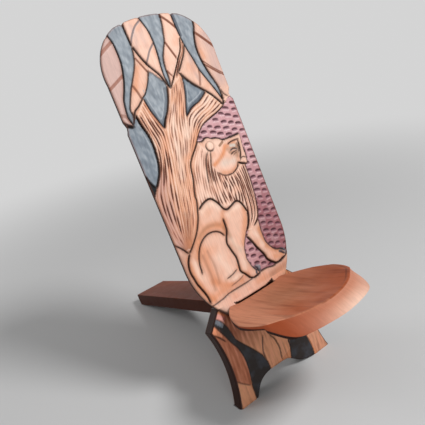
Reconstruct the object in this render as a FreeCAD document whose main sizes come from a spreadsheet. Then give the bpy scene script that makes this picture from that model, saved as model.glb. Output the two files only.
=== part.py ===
import FreeCAD, Part
import os
import Sketcher

# A low chair of two crossed planks: a carved back board on two feet, and a seat board whose
# tail passes through a slot in the back board and rests on the floor behind it.
# The chair faces -Y, +Z is up, and all sizes are in millimetres.

doc = FreeCAD.newDocument("crossed_board_chair")
sheet = doc.addObject("Spreadsheet::Sheet", "dims")

# The lean is in degrees and is the same for both boards, because the slot is cut square
# through the back board.
STANCE = {
    "lean": 18,
    "play": 0.5,
    "overrun": 8,
}

# The back board: "up" is measured along the board from the front edge of its feet, and
# "half" from its middle line. "in" is inwards from side_half, and "drop" is down from the top.
BACK_BOARD = {
    "back_thickness": 36,
    "side_half": 165,
    "foot_flare": 4,
    "foot_wide": 59,
    "arch_up": 44,
    "arch_haunch_half": 85,
    "arch_haunch_up": 31,
    "arch_top_half": 45,
    "arch_far_half": 12,
    "arch_far_up": 42,
    "arch_knee_half": 60,
    "arch_knee_up": 14,
    "shin_in": 15,
    "shin_up": 98,
    "hip_up": 215,
    "neck_in": 43,
    "neck_rise": 46,
    "flank_in": 16,
    "flank_rise": 45,
    "side_rise": 129,
    "crown_up": 1003,
    "crown_end_in": 69,
    "crown_end_drop": 13,
    "crown_side_in": 18,
    "crown_side_drop": 58,
    "crown_drop": 139,
    "notch_drop": 246,
    "notch_tall": 26,
    "notch_deep": 11,
    "bevel_in": 34,
    "bevel_deep": 26,
    "crown_slant_share": 0.7,
    "crown_turn_share": 0.4,
    "leg_recess": 6,
    "recess_dip": 61,
    "slot_dip": 11,
    "slot_half": 66,
    "picture_half": 165,
    "ground_sunk": 5,
    "leaf_sunk": 3.4,
    "gap_sunk": 4.4,
}

# The main areas of the carved picture that are sunk below the board's face: the ground
# behind the lion and beside the trunk, the leaves that hang from the crown, and the gaps
# between the branches. Each corner is given from the middle line and down from the crown, on
# a board whose half width is picture_half, and the picture widens with the board.
PICTURE = {
    "ground_sunk": [
        [(5, 335), (30, 308), (67, 291), (126, 270), (133, 251), (172, 251), (172, 703),
         (142, 703), (130, 687), (100, 665), (91, 630), (96, 585), (112, 540), (121, 468),
         (130, 425), (140, 353), (82, 353), (50, 339), (25, 335)],
        [(-172, 249), (-132, 233), (-124, 249), (-114, 303), (-119, 345), (-140, 390),
         (-163, 421), (-172, 433)],
    ],
    "leaf_sunk": [
        [(-128, -5), (-111, 48), (-112, 103), (-130, 158), (-147, 208), (-142, 231),
         (-132, 198), (-100, 143), (-74, 96), (-67, 53), (-69, -5)],
        [(-22, -7), (-5, 59), (-7, 103), (-12, 158), (-8, 188), (2, 133), (15, 91), (32, 53),
         (43, -7)],
        [(73, -5), (77, 73), (89, 133), (115, 213), (129, 237), (132, 223), (114, 153),
         (111, 109), (128, 55), (145, -5)],
    ],
    "gap_sunk": [
        [(-47, 133), (-18, 173), (-25, 208), (-40, 236), (-67, 276), (-85, 223), (-87, 187),
         (-60, 156)],
        [(38, 171), (86, 222), (55, 241), (5, 267), (25, 218)],
    ],
}

# The seat board: "out" is measured forwards along the board from the back board's front
# face, and heights from the slot's upper edge. "in" is inwards from broad_half, and "back" is
# rearwards from the tip of the nose.
SEAT_BOARD = {
    "tail_tip": 6.6,
    "tail_thickness": 38.5,
    "tail_end_half": 57,
    "rim_rise": 5,
    "rim_drop": 9,
    "shoulder_wide": 24,
    "shoulder_side_in": 29,
    "shoulder_side_out": 60,
    "broad_half": 163,
    "broad_back": 176,
    "flare_in": 4,
    "flare_back": 139,
    "corner_in": 16,
    "corner_back": 105,
    "nose_side_in": 26,
    "nose_side_back": 61,
    "nose_end_in": 51,
    "nose_end_back": 26,
    "nose_out": 311,
    "crest_side_in": 32,
    "crest_side_back": 94,
    "crest_end_back": 83,
    "crest_back": 55,
    "belly_in": 45,
    "band_tall": 10,
    "dish_in": 17,
    "dish_reach": 180,
    "dish_back": 186,
    "dish_depth": 14,
    "dish_ball": 60,
}

# Sizes that follow from the ones above, as formulas of the sheet.
WORKED_OUT = {
    "foot_half": "side_half + foot_flare",
    "foot_inner_half": "foot_half - foot_wide",
    "shin_half": "side_half - shin_in",
    "neck_half": "side_half - neck_in",
    "neck_up": "hip_up + neck_rise",
    "flank_half": "side_half - flank_in",
    "flank_up": "neck_up + flank_rise",
    "side_up": "neck_up + side_rise",
    "side_end_up": "crown_up - crown_drop",
    "crown_side_half": "side_half - crown_side_in",
    "crown_side_up": "crown_up - crown_side_drop",
    "crown_end_half": "side_half - crown_end_in",
    "crown_end_up": "crown_up - crown_end_drop",
    "notch_up": "crown_up - notch_drop",
    "notch_foot_up": "notch_up - notch_tall / 2",
    "notch_head_up": "notch_up + notch_tall / 2",
    "notch_tip_half": "side_half - notch_deep",
    "land": "back_thickness - bevel_deep",
    "inner_neck_half": "neck_half - bevel_in",
    "inner_flank_half": "flank_half - bevel_in",
    "inner_side_half": "side_half - bevel_in",
    "inner_crown_side_half": "crown_side_half - bevel_in * crown_slant_share",
    "inner_crown_side_up": "crown_side_up - bevel_in * crown_slant_share",
    "inner_crown_end_half": "crown_end_half - bevel_in * crown_turn_share",
    "inner_crown_end_up": "crown_end_up - bevel_in",
    "inner_crown_up": "crown_up - bevel_in",
    "recess_up": "neck_up - recess_dip",
    "slot_up": "neck_up - slot_dip",
    "sole_rise_over": "(back_thickness + overrun) * tan(lean * 1deg)",
    "sole_drop_over": "overrun * tan(lean * 1deg)",
    "past_rear": "back_thickness + overrun",
    "past_feet": "foot_half + overrun",
    "past_side": "side_half + overrun",
    "seat_deep": "tail_thickness + play",
    "slot_tall": "tail_thickness + 2 * play",
    "slot_low_up": "slot_up - slot_tall",
    "tail_half": "slot_half - play",
    "shoulder_half": "slot_half + shoulder_wide",
    "shoulder_side_half": "broad_half - shoulder_side_in",
    "broad_out": "nose_out - broad_back",
    "flare_half": "broad_half - flare_in",
    "flare_out": "nose_out - flare_back",
    "corner_half": "broad_half - corner_in",
    "corner_out": "nose_out - corner_back",
    "nose_side_half": "broad_half - nose_side_in",
    "nose_side_out": "nose_out - nose_side_back",
    "nose_end_half": "broad_half - nose_end_in",
    "nose_end_out": "nose_out - nose_end_back",
    "crest_side_half": "broad_half - crest_side_in",
    "crest_side_out": "nose_out - crest_side_back",
    "crest_end_out": "nose_out - crest_end_back",
    "crest_out": "nose_out - crest_back",
    "blank_top": "rim_rise + overrun",
    "front_top": "rim_rise - rim_drop",
    "belly_half": "broad_half - belly_in",
    "belly_slope": "(seat_deep - band_tall) / belly_in",
    "past_broad": "broad_half + overrun",
    "band_low": "seat_deep - (past_broad - belly_half) * belly_slope",
    "under_seat": "seat_deep + overrun",
    "tail_length": "(slot_up - seat_deep) / tan(lean * 1deg) + tail_tip",
    "sole_start_out": "(slot_up - under_seat) / tan(lean * 1deg)",
    "past_tail": "tail_length + overrun",
    "sole_end_low": "slot_up - past_tail * tan(lean * 1deg)",
    "dish_half": "broad_half - dish_in",
    "dish_out": "nose_out - dish_back",
    "dish_lift": "dish_ball - dish_depth",
    "dish_share": "sqrt(1 - (dish_lift / dish_ball) ^ 2)",
    "dish_radius_x": "dish_half / dish_share",
    "dish_radius_y": "dish_reach / dish_share",
    "dish_rise": "rim_rise - rim_drop * dish_out / nose_out + dish_lift",
    "rim_fall": "atan(rim_drop / nose_out)",
    "slot_level": "slot_up * cos(lean * 1deg)",
    "slot_behind": "slot_up * sin(lean * 1deg)",
}


def fill_sheet():
    """Writes the sizes into the sheet, one named cell each, and then the worked-out ones."""
    row = 0
    for table in (STANCE, BACK_BOARD, SEAT_BOARD, WORKED_OUT):
        for name, value in table.items():
            row += 1
            cell = "A%d" % row
            text = "=" + value if table is WORKED_OUT else str(value)
            sheet.set(cell, text)
            sheet.setAlias(cell, name)
    doc.recompute()


def size(name):
    """The value of one named size, where 0 stands for the axis itself."""
    return float(getattr(sheet, name)) if name else 0.0


def signed(name):
    """A size's value and its formula for the sheet, with a leading minus kept."""
    if not name:
        return 0.0, None
    if name.startswith("-"):
        return -size(name[1:]), "-dims." + name[1:]
    return size(name), "dims." + name


def new_sketch(body, plane, label, offset=None):
    """A sketch on one of the body's own planes, moved along that plane's normal."""
    sketch = body.newObject("Sketcher::SketchObject", label)
    role = [feature for feature in body.Origin.OriginFeatures if feature.Role == plane]
    sketch.AttachmentSupport = [(role[0], "")]
    sketch.MapMode = "FlatFace"
    if offset:
        sketch.setExpression("AttachmentOffset.Base.z", offset)
    return sketch


def hold(sketch, geometry, point, place):
    """Ties one point of the sketch to a pair of named sizes."""
    across, up = place
    for kind, name, axis in (("DistanceX", across, -2), ("DistanceY", up, -1)):
        value, formula = signed(name)
        if formula is None:
            sketch.addConstraint(Sketcher.Constraint("PointOnObject", geometry, point, axis))
        else:
            number = sketch.addConstraint(Sketcher.Constraint(kind, -1, 1, geometry, point, value))
            sketch.setExpression("Constraints[%d]" % number, formula)


def vector(place):
    return FreeCAD.Vector(signed(place[0])[0], signed(place[1])[0], 0)


def closed_outline(sketch, stops):
    """Draws a closed outline. A stop is (place,) where a line leaves it, or (place, via)
    where an arc leaves it and passes through via."""
    ends = []
    for index, stop in enumerate(stops):
        here = stop[0]
        there = stops[(index + 1) % len(stops)][0]
        if len(stop) == 1:
            edge = sketch.addGeometry(Part.LineSegment(vector(here), vector(there)), False)
            ends.append((edge, 1, 2))
            continue
        edge = sketch.addGeometry(Part.Arc(vector(here), vector(stop[1]), vector(there)), False)
        start = sketch.getPoint(edge, 1)
        near = (start - vector(here)).Length < (start - vector(there)).Length
        ends.append((edge, 1, 2) if near else (edge, 2, 1))
        middle = sketch.addGeometry(Part.Point(vector(stop[1])), True)
        hold(sketch, middle, 1, stop[1])
        sketch.addConstraint(Sketcher.Constraint("PointOnObject", middle, 1, edge))
    for index, stop in enumerate(stops):
        edge, first, _ = ends[index]
        before, _, last = ends[index - 1]
        hold(sketch, edge, first, stop[0])
        sketch.addConstraint(Sketcher.Constraint("Coincident", before, last, edge, first))


def picture_outline(sketch, points):
    """Draws one straight-sided outline of the carved picture, tied to the board's width and
    its crown."""
    unit = size("side_half") / size("picture_half")
    crown = size("crown_up")
    corners = [FreeCAD.Vector(across * unit, crown - drop, 0) for across, drop in points]
    edges = [sketch.addGeometry(Part.LineSegment(corner, corners[index - len(corners) + 1]), False)
             for index, corner in enumerate(corners)]
    for index, (across, drop) in enumerate(points):
        edge, corner = edges[index], corners[index]
        number = sketch.addConstraint(Sketcher.Constraint("DistanceX", -1, 1, edge, 1, corner.x))
        sketch.setExpression("Constraints[%d]" % number,
                             "%g * dims.side_half / dims.picture_half" % across)
        number = sketch.addConstraint(Sketcher.Constraint("DistanceY", -1, 1, edge, 1, corner.y))
        sketch.setExpression("Constraints[%d]" % number, "dims.crown_up - %g" % drop)
        sketch.addConstraint(Sketcher.Constraint("Coincident", edges[index - 1], 2, edge, 1))


def other_side(place):
    across = place[0]
    if across:
        across = across[1:] if across.startswith("-") else "-" + across
    return (across, place[1])


def both_sides(half):
    """Repeats the right half of an outline, bottom to top, on the left, top to bottom.
    The arcs are kept with the stop that they now leave."""
    mirrored = []
    for index in range(len(half) - 1, 0, -1):
        place, before = half[index][0], half[index - 1]
        stop = (other_side(place),)
        if len(before) == 2:
            stop += (other_side(before[1]),)
        mirrored.append(stop)
    mirrored.append((other_side(half[0][0]),))
    return mirrored


def pad(body, sketch, label, length, downwards=False):
    feature = body.newObject("PartDesign::Pad", label)
    feature.Profile = sketch
    feature.setExpression("Length", length)
    feature.Reversed = downwards
    doc.recompute()


def cut(body, sketch, label, depth=None, downwards=False):
    """A pocket of the given depth, or through everything on both sides of its sketch. It
    stops the script if it takes nothing away."""
    before = body.Shape.Volume
    feature = body.newObject("PartDesign::Pocket", label)
    feature.Profile = sketch
    if depth is None:
        feature.Type = "ThroughAll"
        feature.SideType = "Symmetric"
    else:
        feature.setExpression("Length", depth)
        feature.Reversed = downwards
    doc.recompute()
    if not body.Shape.Volume < before:
        raise ValueError(label + " cuts nothing")


def ruled_loft(body, label, sketches):
    feature = body.newObject("PartDesign::AdditiveLoft", label)
    feature.Profile = sketches[0]
    feature.Sections = sketches[1:]
    feature.Ruled = True
    doc.recompute()


def make_back_board():
    """The tall board: a thin front layer of the whole outline, the legs at full thickness
    behind it, and the back behind it with its broad rear bevel. Then its side notches, the
    recessed legs, the picture's sunk areas, the slot and the soles cut level with the
    floor. The arch between the feet falls more gently on the right."""
    body = doc.addObject("PartDesign::Body", "BackBoard")
    body.Label = "back_board"
    leg = [
        (("foot_half", 0), ("shin_half", "shin_up")),
        (("side_half", "hip_up"),),
    ]
    back = [
        (("neck_half", "neck_up"), ("flank_half", "flank_up")),
        (("side_half", "side_up"),),
        (("side_half", "side_end_up"), ("crown_side_half", "crown_side_up")),
        (("crown_end_half", "crown_end_up"), (0, "crown_up")),
    ]
    inner_back = [
        (("inner_neck_half", "neck_up"), ("inner_flank_half", "flank_up")),
        (("inner_side_half", "side_up"),),
        (("inner_side_half", "side_end_up"), ("inner_crown_side_half", "inner_crown_side_up")),
        (("inner_crown_end_half", "inner_crown_end_up"), (0, "inner_crown_up")),
    ]
    arch = [
        (("-foot_inner_half", 0), ("-arch_haunch_half", "arch_haunch_up")),
        (("-arch_top_half", "arch_up"),),
        (("arch_far_half", "arch_far_up"),),
        (("arch_knee_half", "arch_knee_up"),),
        (("foot_inner_half", 0),),
    ]
    front = new_sketch(body, "XY_Plane", "BackOutline")
    closed_outline(front, leg + back + both_sides(leg + back) + arch)
    pad(body, front, "FrontLayer", "dims.land", downwards=True)

    legs = leg + [(("neck_half", "neck_up"),)]
    lower = new_sketch(body, "XY_Plane", "LegOutline")
    closed_outline(lower, legs + both_sides(legs) + arch)
    pad(body, lower, "Legs", "dims.back_thickness", downwards=True)

    full = new_sketch(body, "XY_Plane", "BackBevelStart", "-dims.land")
    closed_outline(full, back + both_sides(back))
    inner = new_sketch(body, "XY_Plane", "BackBevelEnd", "-dims.back_thickness")
    closed_outline(inner, inner_back + both_sides(inner_back))
    ruled_loft(body, "BevelledBack", [full, inner])

    notches = new_sketch(body, "XY_Plane", "CanopyNotches")
    for mirror in (False, True):
        notch = [("past_side", "notch_foot_up"), ("past_side", "notch_head_up"),
                 ("side_half", "notch_head_up"), ("notch_tip_half", "notch_up"),
                 ("side_half", "notch_foot_up")]
        closed_outline(notches, [(other_side(place) if mirror else place,) for place in notch])
    cut(body, notches, "CanopyNotchCut")

    recess = new_sketch(body, "XY_Plane", "LegRecess")
    closed_outline(recess, [
        (("-neck_half", "neck_up"), (0, "recess_up")),
        (("neck_half", "neck_up"),),
        (("past_feet", "neck_up"),),
        (("past_feet", "-overrun"),),
        (("-past_feet", "-overrun"),),
        (("-past_feet", "neck_up"),),
    ])
    cut(body, recess, "LegRecessCut", "dims.leg_recess")

    for depth, outlines in PICTURE.items():
        sunk = new_sketch(body, "XY_Plane", "Picture_" + depth)
        for points in outlines:
            picture_outline(sunk, points)
        cut(body, sunk, "PictureCut_" + depth, "dims." + depth)

    slot = new_sketch(body, "XY_Plane", "Slot")
    closed_outline(slot, [
        (("-slot_half", "slot_low_up"),),
        (("slot_half", "slot_low_up"),),
        (("slot_half", "slot_up"),),
        (("-slot_half", "slot_up"),),
    ])
    cut(body, slot, "SlotCut")

    sole = new_sketch(body, "YZ_Plane", "FootSoles")
    closed_outline(sole, [
        (("-sole_drop_over", "overrun"),),
        (("sole_rise_over", "-past_rear"),),
        (("-overrun", "-past_rear"),),
        (("-overrun", "overrun"),),
    ])
    cut(body, sole, "FootSoleCut")
    return body


def make_seat_board():
    """The low board: a broad seat blank whose front slopes from a crest down to its nose,
    with a tapering tail, a dished top, thinned lower sides and the tail's floor cut.
    In the body's own frame -Y is forwards and +Z square to the board's top."""
    body = doc.addObject("PartDesign::Body", "SeatBoard")
    body.Label = "seat_board"

    sides = [
        (("shoulder_half", 0), ("shoulder_side_half", "-shoulder_side_out")),
        (("broad_half", "-broad_out"), ("flare_half", "-flare_out")),
    ]
    nose = sides + [
        (("corner_half", "-corner_out"), ("nose_side_half", "-nose_side_out")),
        (("nose_end_half", "-nose_end_out"), (0, "-nose_out")),
    ]
    crest = sides + [
        (("corner_half", "-corner_out"), ("crest_side_half", "-crest_side_out")),
        (("nose_end_half", "-crest_end_out"), (0, "-crest_out")),
    ]
    under = new_sketch(body, "XY_Plane", "SeatUnderside", "-dims.seat_deep")
    closed_outline(under, nose + both_sides(nose))
    upper = new_sketch(body, "XY_Plane", "SeatTop", "dims.rim_rise")
    closed_outline(upper, crest + both_sides(crest))
    ruled_loft(body, "SeatBlank", [under, upper])

    tail = new_sketch(body, "XY_Plane", "TailOutline", "-dims.seat_deep")
    closed_outline(tail, [
        (("tail_half", "-shoulder_side_out"),),
        (("tail_half", 0),),
        (("tail_end_half", "tail_length"),),
        (("-tail_end_half", "tail_length"),),
        (("-tail_half", 0),),
        (("-tail_half", "-shoulder_side_out"),),
    ])
    pad(body, tail, "Tail", "dims.tail_thickness")

    slope = new_sketch(body, "YZ_Plane", "TopSlope")
    closed_outline(slope, [
        ((0, "rim_rise"),),
        (("-nose_out", "front_top"),),
        (("-nose_out", "blank_top"),),
        ((0, "blank_top"),),
    ])
    cut(body, slope, "TopSlopeCut")

    belly = new_sketch(body, "XZ_Plane", "ThinnedSides")
    for mirror in (False, True):
        wedge = [("belly_half", "-seat_deep"), ("past_broad", "-band_low"),
                 ("past_broad", "-under_seat"), ("belly_half", "-under_seat")]
        closed_outline(belly, [(other_side(place) if mirror else place,) for place in wedge])
    cut(body, belly, "ThinnedSidesCut")

    dish = body.newObject("PartDesign::SubtractiveEllipsoid", "Dish")
    plane = [feature for feature in body.Origin.OriginFeatures if feature.Role == "XY_Plane"]
    dish.AttachmentSupport = [(plane[0], "")]
    dish.MapMode = "FlatFace"
    dish.setExpression("Radius1", "dims.dish_ball")
    dish.setExpression("Radius2", "dims.dish_radius_x")
    dish.setExpression("Radius3", "dims.dish_radius_y")
    dish.AttachmentOffset = FreeCAD.Placement(
        FreeCAD.Vector(), FreeCAD.Rotation(FreeCAD.Vector(1, 0, 0), 1))
    dish.setExpression("AttachmentOffset.Base.y", "-dims.dish_out")
    dish.setExpression("AttachmentOffset.Base.z", "dims.dish_rise")
    dish.setExpression("AttachmentOffset.Rotation.Angle", "dims.rim_fall")
    doc.recompute()

    sole = new_sketch(body, "YZ_Plane", "TailSole")
    closed_outline(sole, [
        (("sole_start_out", "-under_seat"),),
        (("past_tail", "-under_seat"),),
        (("past_tail", "-sole_end_low"),),
    ])
    cut(body, sole, "TailSoleCut")
    return body


def true_box(body):
    """The body's box measured on its faces, without the slack of their control points."""
    return body.Shape.optimalBoundingBox(False, False)


def stand_up(boards):
    """Leans the boards as they stand and moves both along Y alike, so that the origin is
    under the middle of the chair."""
    back, seat = boards
    turn = FreeCAD.Rotation(FreeCAD.Vector(1, 0, 0), 1)
    for body in boards:
        body.Placement = FreeCAD.Placement(FreeCAD.Vector(), turn)
    back.setExpression("Placement.Rotation.Angle", "90 - dims.lean")
    seat.Placement.Rotation = FreeCAD.Rotation(FreeCAD.Vector(-1, 0, 0), 1)
    seat.setExpression("Placement.Rotation.Angle", "dims.lean")
    seat.setExpression("Placement.Base.z", "dims.slot_level")
    seat.setExpression("Placement.Base.y", "dims.slot_behind")
    doc.recompute()
    box = true_box(back)
    box.add(true_box(seat))
    last = "A%d" % (1 + len(STANCE) + len(BACK_BOARD) + len(SEAT_BOARD) + len(WORKED_OUT))
    sheet.set(last, "%.6f" % box.Center.y)
    sheet.setAlias(last, "middle")
    back.setExpression("Placement.Base.y", "-dims.middle")
    seat.setExpression("Placement.Base.y", "dims.slot_behind - dims.middle")
    doc.recompute()


fill_sheet()
boards = (make_back_board(), make_seat_board())
stand_up(boards)

for thing in doc.Objects:
    for state in ("Invalid", "Error"):
        if state in thing.State:
            raise ValueError("%s did not build: %s" % (thing.Label, thing.State))
for body in boards:
    if body.Shape.isNull() or not body.Shape.isValid() or len(body.Shape.Solids) != 1:
        raise ValueError("%s is not one sound solid" % body.Label)

os.makedirs("parts", exist_ok=True)
for body in boards:
    body.Shape.exportStep("parts/%s.step" % body.Label)
    print(body.Label, "volume %.0f" % body.Shape.Volume, true_box(body))
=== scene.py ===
from math import atan2, cos, hypot, pi, radians, sin

import bpy
import numpy as np
from mathutils import Matrix, Vector, kdtree


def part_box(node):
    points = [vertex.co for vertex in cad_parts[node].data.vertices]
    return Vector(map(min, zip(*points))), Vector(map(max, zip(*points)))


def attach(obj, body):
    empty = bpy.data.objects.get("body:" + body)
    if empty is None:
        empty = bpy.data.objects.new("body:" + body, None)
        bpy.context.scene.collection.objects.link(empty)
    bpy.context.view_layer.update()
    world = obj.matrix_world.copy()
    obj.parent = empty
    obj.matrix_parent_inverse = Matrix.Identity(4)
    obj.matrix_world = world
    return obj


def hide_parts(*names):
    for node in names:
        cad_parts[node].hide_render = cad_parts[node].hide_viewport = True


# A low chair of two crossed planks. Both boards are drawn in one set of axes that leans with
# the back board: x across, "up" along the board from the front edge of its feet, and "out"
# square to its face, towards the sitter. These are in millimetres, and the scene in metres.

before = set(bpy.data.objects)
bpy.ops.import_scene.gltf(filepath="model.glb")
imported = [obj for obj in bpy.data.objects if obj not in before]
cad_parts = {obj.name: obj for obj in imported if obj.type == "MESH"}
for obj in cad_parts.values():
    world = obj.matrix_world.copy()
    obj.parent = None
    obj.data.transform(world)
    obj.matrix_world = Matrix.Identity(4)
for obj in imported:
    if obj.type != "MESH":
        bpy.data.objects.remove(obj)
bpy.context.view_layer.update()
MM = 0.001
LEAN = radians(18)
BACK_THICK, LEG_RECESS = 36.0, 6.0
FOOT_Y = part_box("back_board")[0].y - LEG_RECESS * MM / cos(LEAN)

# The back board's outline on the right, as x and up
FOOT, SHIN, HIP = (169, 0), (150, 98), (165, 215)
NECK, LOW_FLANK, FLANK = (122, 261), (149, 306), (165, 390)
SHOULDER, TURN, CROWN, TOP = (165, 864), (147, 945), (96, 990), (0, 1003)
NOTCH_UP, NOTCH_SHAPE = [742, 750, 757, 764, 772], np.array([0, 0.7, 1, 0.6, 0])
NOTCH_LEFT, NOTCH_RIGHT = 5, 9
SLOT_LOW, SLOT_UP, SLOT_HALF = 210.5, 250.0, 66
ARCH = [(-110, 0), (-98, 15), (-85, 30), (-66, 40), (-45, 44), (-20, 43.5), (12, 42), (27, 37),
        (42, 26), (60, 14), (85, 5), (110, 0)]
ARCH_HALF = 110

# The board is drawn as two meshes, which meet at this height and half width
SEAM_UP, SEAM_HALF = 262, 122.9

# Small nicks in the crown's edge: where, how wide and how deep
CROWN_NICKS = [(-70, 4, 5.0), (74, 4, 3.0), (-20, 5, 1.5), (41, 5, 1.2), (-121, 4, 1.5)]

# The carved face's grid runs straight up to this height and fans out to the crown above it.
# Its rim is rounded by FACE_EDGE.
STRAIGHT_UP, FACE_EDGE = 800, 3.5

# Shading stays sharp at edges that turn by more than this
SHARP_FROM = radians(62)

# The seat board, whose heights are above the slot's upper edge: half the tail's width at the
# slot and at its end, where the tail ends, its top and the board's underside
TAIL_HALF, TAIL_END_HALF, TAIL_END_OUT, TAIL_TOP, BELLY = 65.5, 57.0, -656.0, -0.5, -39.0
# Half its width at the stop against the back board and at the nose's corners, how far out the
# corners and the tip are, how high the rim is at the rear, and how far it falls to the tip
STOP_HALF, NOSE_HALF, NOSE_CORNER_OUT, NOSE_TIP_OUT, RIM_HIGH, RIM_FALL = 90, 147, 206, 311, 5, 9
# The hollow: how deep below the rim, where its middle is, its half width and half length, and
# how round its bottom is
HOLLOW_DEEP, HOLLOW_OUT, HOLLOW_HALF, HOLLOW_LONG, HOLLOW_ROUND = 14, 125, 227.5, 280, 60
# The underside is flat this far from the middle, and then rises: at the sides by a slope to a
# thin edge, and at the nose's corners by a height
FLAT_HALF, SIDE_RISE, SIDE_THIN, NOSE_RISE = 100, 0.82, -11, 26.5


def off_floor(up, out):
    """up, raised where the point would otherwise lie below the floor."""
    return np.maximum(up, -out * np.tan(LEAN))


def to_scene(x, up, out):
    """Points in the scene from places on the leaning boards."""
    y = FOOT_Y / MM + up * sin(LEAN) - out * cos(LEAN)
    return np.stack([x, y, up * cos(LEAN) + out * sin(LEAN)], -1) * MM


def to_board(points):
    """x, up and out of points in the scene."""
    x, y, z = points[:, 0] / MM, (points[:, 1] - FOOT_Y) / MM, points[:, 2] / MM
    return x, y * sin(LEAN) + z * cos(LEAN), z * sin(LEAN) - y * cos(LEAN)


# Curves and outlines

def arc(start, via, end, count=24):
    """Points of the arc from start through via to end."""
    (ax, ay), (bx, by), (cx, cy) = start, via, end
    d = 2 * (ax * (by - cy) + bx * (cy - ay) + cx * (ay - by))
    sa, sb, sc = ax * ax + ay * ay, bx * bx + by * by, cx * cx + cy * cy
    ox = (sa * (by - cy) + sb * (cy - ay) + sc * (ay - by)) / d
    oy = (sa * (cx - bx) + sb * (ax - cx) + sc * (bx - ax)) / d
    a, b, c = (atan2(y - oy, x - ox) for x, y in (start, via, end))
    turn = (c - a) % (2 * pi)
    if (b - a) % (2 * pi) > turn:
        turn -= 2 * pi
    angle = a + turn * np.linspace(0, 1, count)
    radius = hypot(ax - ox, ay - oy)
    return np.stack([ox + radius * np.cos(angle), oy + radius * np.sin(angle)], 1)


def smooth(points, step=0.5):
    """A soft curve through given points, sampled every step."""
    p = np.array(points, float)
    p = np.vstack([2 * p[0] - p[1], p, 2 * p[-1] - p[-2]])
    pieces = []
    for a, b, c, d in zip(p, p[1:], p[2:], p[3:]):
        count = max(2, int(np.linalg.norm(c - b) / step))
        k = np.linspace(0, 1, count, endpoint=False)[:, None]
        pieces.append(0.5 * (2 * b + (c - a) * k + (2 * a - 5 * b + 4 * c - d) * k ** 2
                             + (3 * b - a - 3 * c + d) * k ** 3))
    pieces.append(p[-2:-1])
    return np.vstack(pieces)


def along(path, shares):
    """Points of a path at shares of its length."""
    path = np.asarray(path, float)
    run = np.concatenate([[0], np.cumsum(np.linalg.norm(np.diff(path, axis=0), axis=1))])
    at = np.asarray(shares) * run[-1]
    return np.stack([np.interp(at, run, path[:, k]) for k in (0, 1)], -1)


def inside(outline, x, y):
    """Whether each point lies in a closed outline."""
    a = np.asarray(outline, float)
    b = np.roll(a, -1, axis=0)
    near = (x > a[:, 0].min()) & (x < a[:, 0].max()) & (y > a[:, 1].min()) & (y < a[:, 1].max())
    px, py = x[near], y[near]
    odd = np.zeros(len(px), bool)
    for (ax, ay), (bx, by) in zip(a, b):
        if ay != by:
            odd ^= ((ay > py) != (by > py)) & (px < ax + (bx - ax) * (py - ay) / (by - ay))
    result = np.zeros(len(x), bool)
    result[near] = odd
    return result


def fill_sides(bottom, top, left, right):
    """A grid of points that fills four sides. Left and right run upwards."""
    t = np.linspace(0, 1, len(bottom))[None, :, None]
    v = np.linspace(0, 1, len(left))[:, None, None]
    flat = (1 - v) * bottom[None] + v * top[None] + (1 - t) * left[:, None] + t * right[:, None]
    corners = ((1 - t) * (1 - v) * bottom[0] + t * (1 - v) * bottom[-1]
               + (1 - t) * v * top[0] + t * v * top[-1])
    return flat - corners


# How strong a mark or a colour is from place to place

def ramp(value, start, end):
    """0 before start, 1 past end, and even between them. Start may be the larger one."""
    return np.clip((value - start) / (end - start), 0, 1)


def bell(far, wide):
    """1 where far is 0, about a third at wide, and next to nothing at twice that."""
    return np.exp(-(far / wide) ** 2)


def blend(colours, other, share):
    return colours + (other - colours) * np.atleast_1d(share)[:, None]


def layered(colours, *layers):
    """Colours with others laid over them, each with its share at each point."""
    for colour, share in layers:
        colours = blend(colours, colour, share)
    return colours


# Colours, written as they look, and kept as the light that they stand for

def light(red, green, blue):
    """The light that a colour stands for, from its screen values of 0 to 255."""
    c = np.array([red, green, blue]) / 255
    return np.where(c <= 0.04045, c / 12.92, ((c + 0.055) / 1.055) ** 2.4)


PALE = light(250, 205, 183)
PEACH = light(242, 196, 173)
PINK = light(211, 177, 167)
ORANGE = light(228, 150, 106)
TAN = light(240, 186, 156)
# Pale wood, also laid on as painted highlight on ridges and rounded parts
PALE_WOOD_AND_HIGHLIGHT = light(254, 222, 202)
BARK_WARM = light(252, 188, 154)
BARK_GREY = light(200, 156, 144)
SLATE = light(126, 136, 146)
SLATE_PALE = light(182, 188, 194)
SLATE_DARK = light(78, 86, 98)
UMBER = light(150, 112, 86)
EYE = light(214, 208, 198)
MAUVE = light(210, 160, 164)
# Painted shade in the gouges' beds
MAUVE_SHADE = light(136, 86, 100)
MAUVE_LOW = light(130, 58, 68)
MAUVE_PALE = light(236, 200, 202)
# Painted shade of the gouges' upper lips
GOUGE_SHADE = light(74, 36, 44)
BROWN = light(122, 66, 42)
STRIPE = light(158, 104, 86)
STREAK = light(108, 42, 20)
GLOW = light(226, 146, 106)
INK = light(26, 12, 8)
CUT = light(66, 26, 14)
BLACK = light(20, 28, 31)
LEG = light(208, 136, 96)
LEG_PINK = light(232, 158, 128)
LEG_PALE = light(228, 162, 124)
LEG_DULL = light(200, 148, 122)
LEG_RED = light(172, 98, 72)
HIP_ORANGE = light(232, 150, 112)
HIP_PINK = light(226, 160, 150)
# The boards' sides and undersides are painted dark as shade
SIDE_SHADE = light(40, 14, 5)
REAR = light(112, 64, 42)
SEAT = light(180, 122, 92)
SEAT_PALE = light(208, 142, 112)
SEAT_RED = light(168, 80, 40)
# The nose is painted darker to the left as shade and has a painted highlight
NOSE_LEFT = light(158, 76, 45)
NOSE = light(204, 136, 108)
NOSE_HIGHLIGHT = light(242, 200, 178)
SEAT_SIDE_SHADE = light(44, 20, 12)
TAIL = light(116, 56, 34)
TAIL_SIDE_SHADE = light(66, 28, 14)

# The picture's outlines, as x and up

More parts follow.
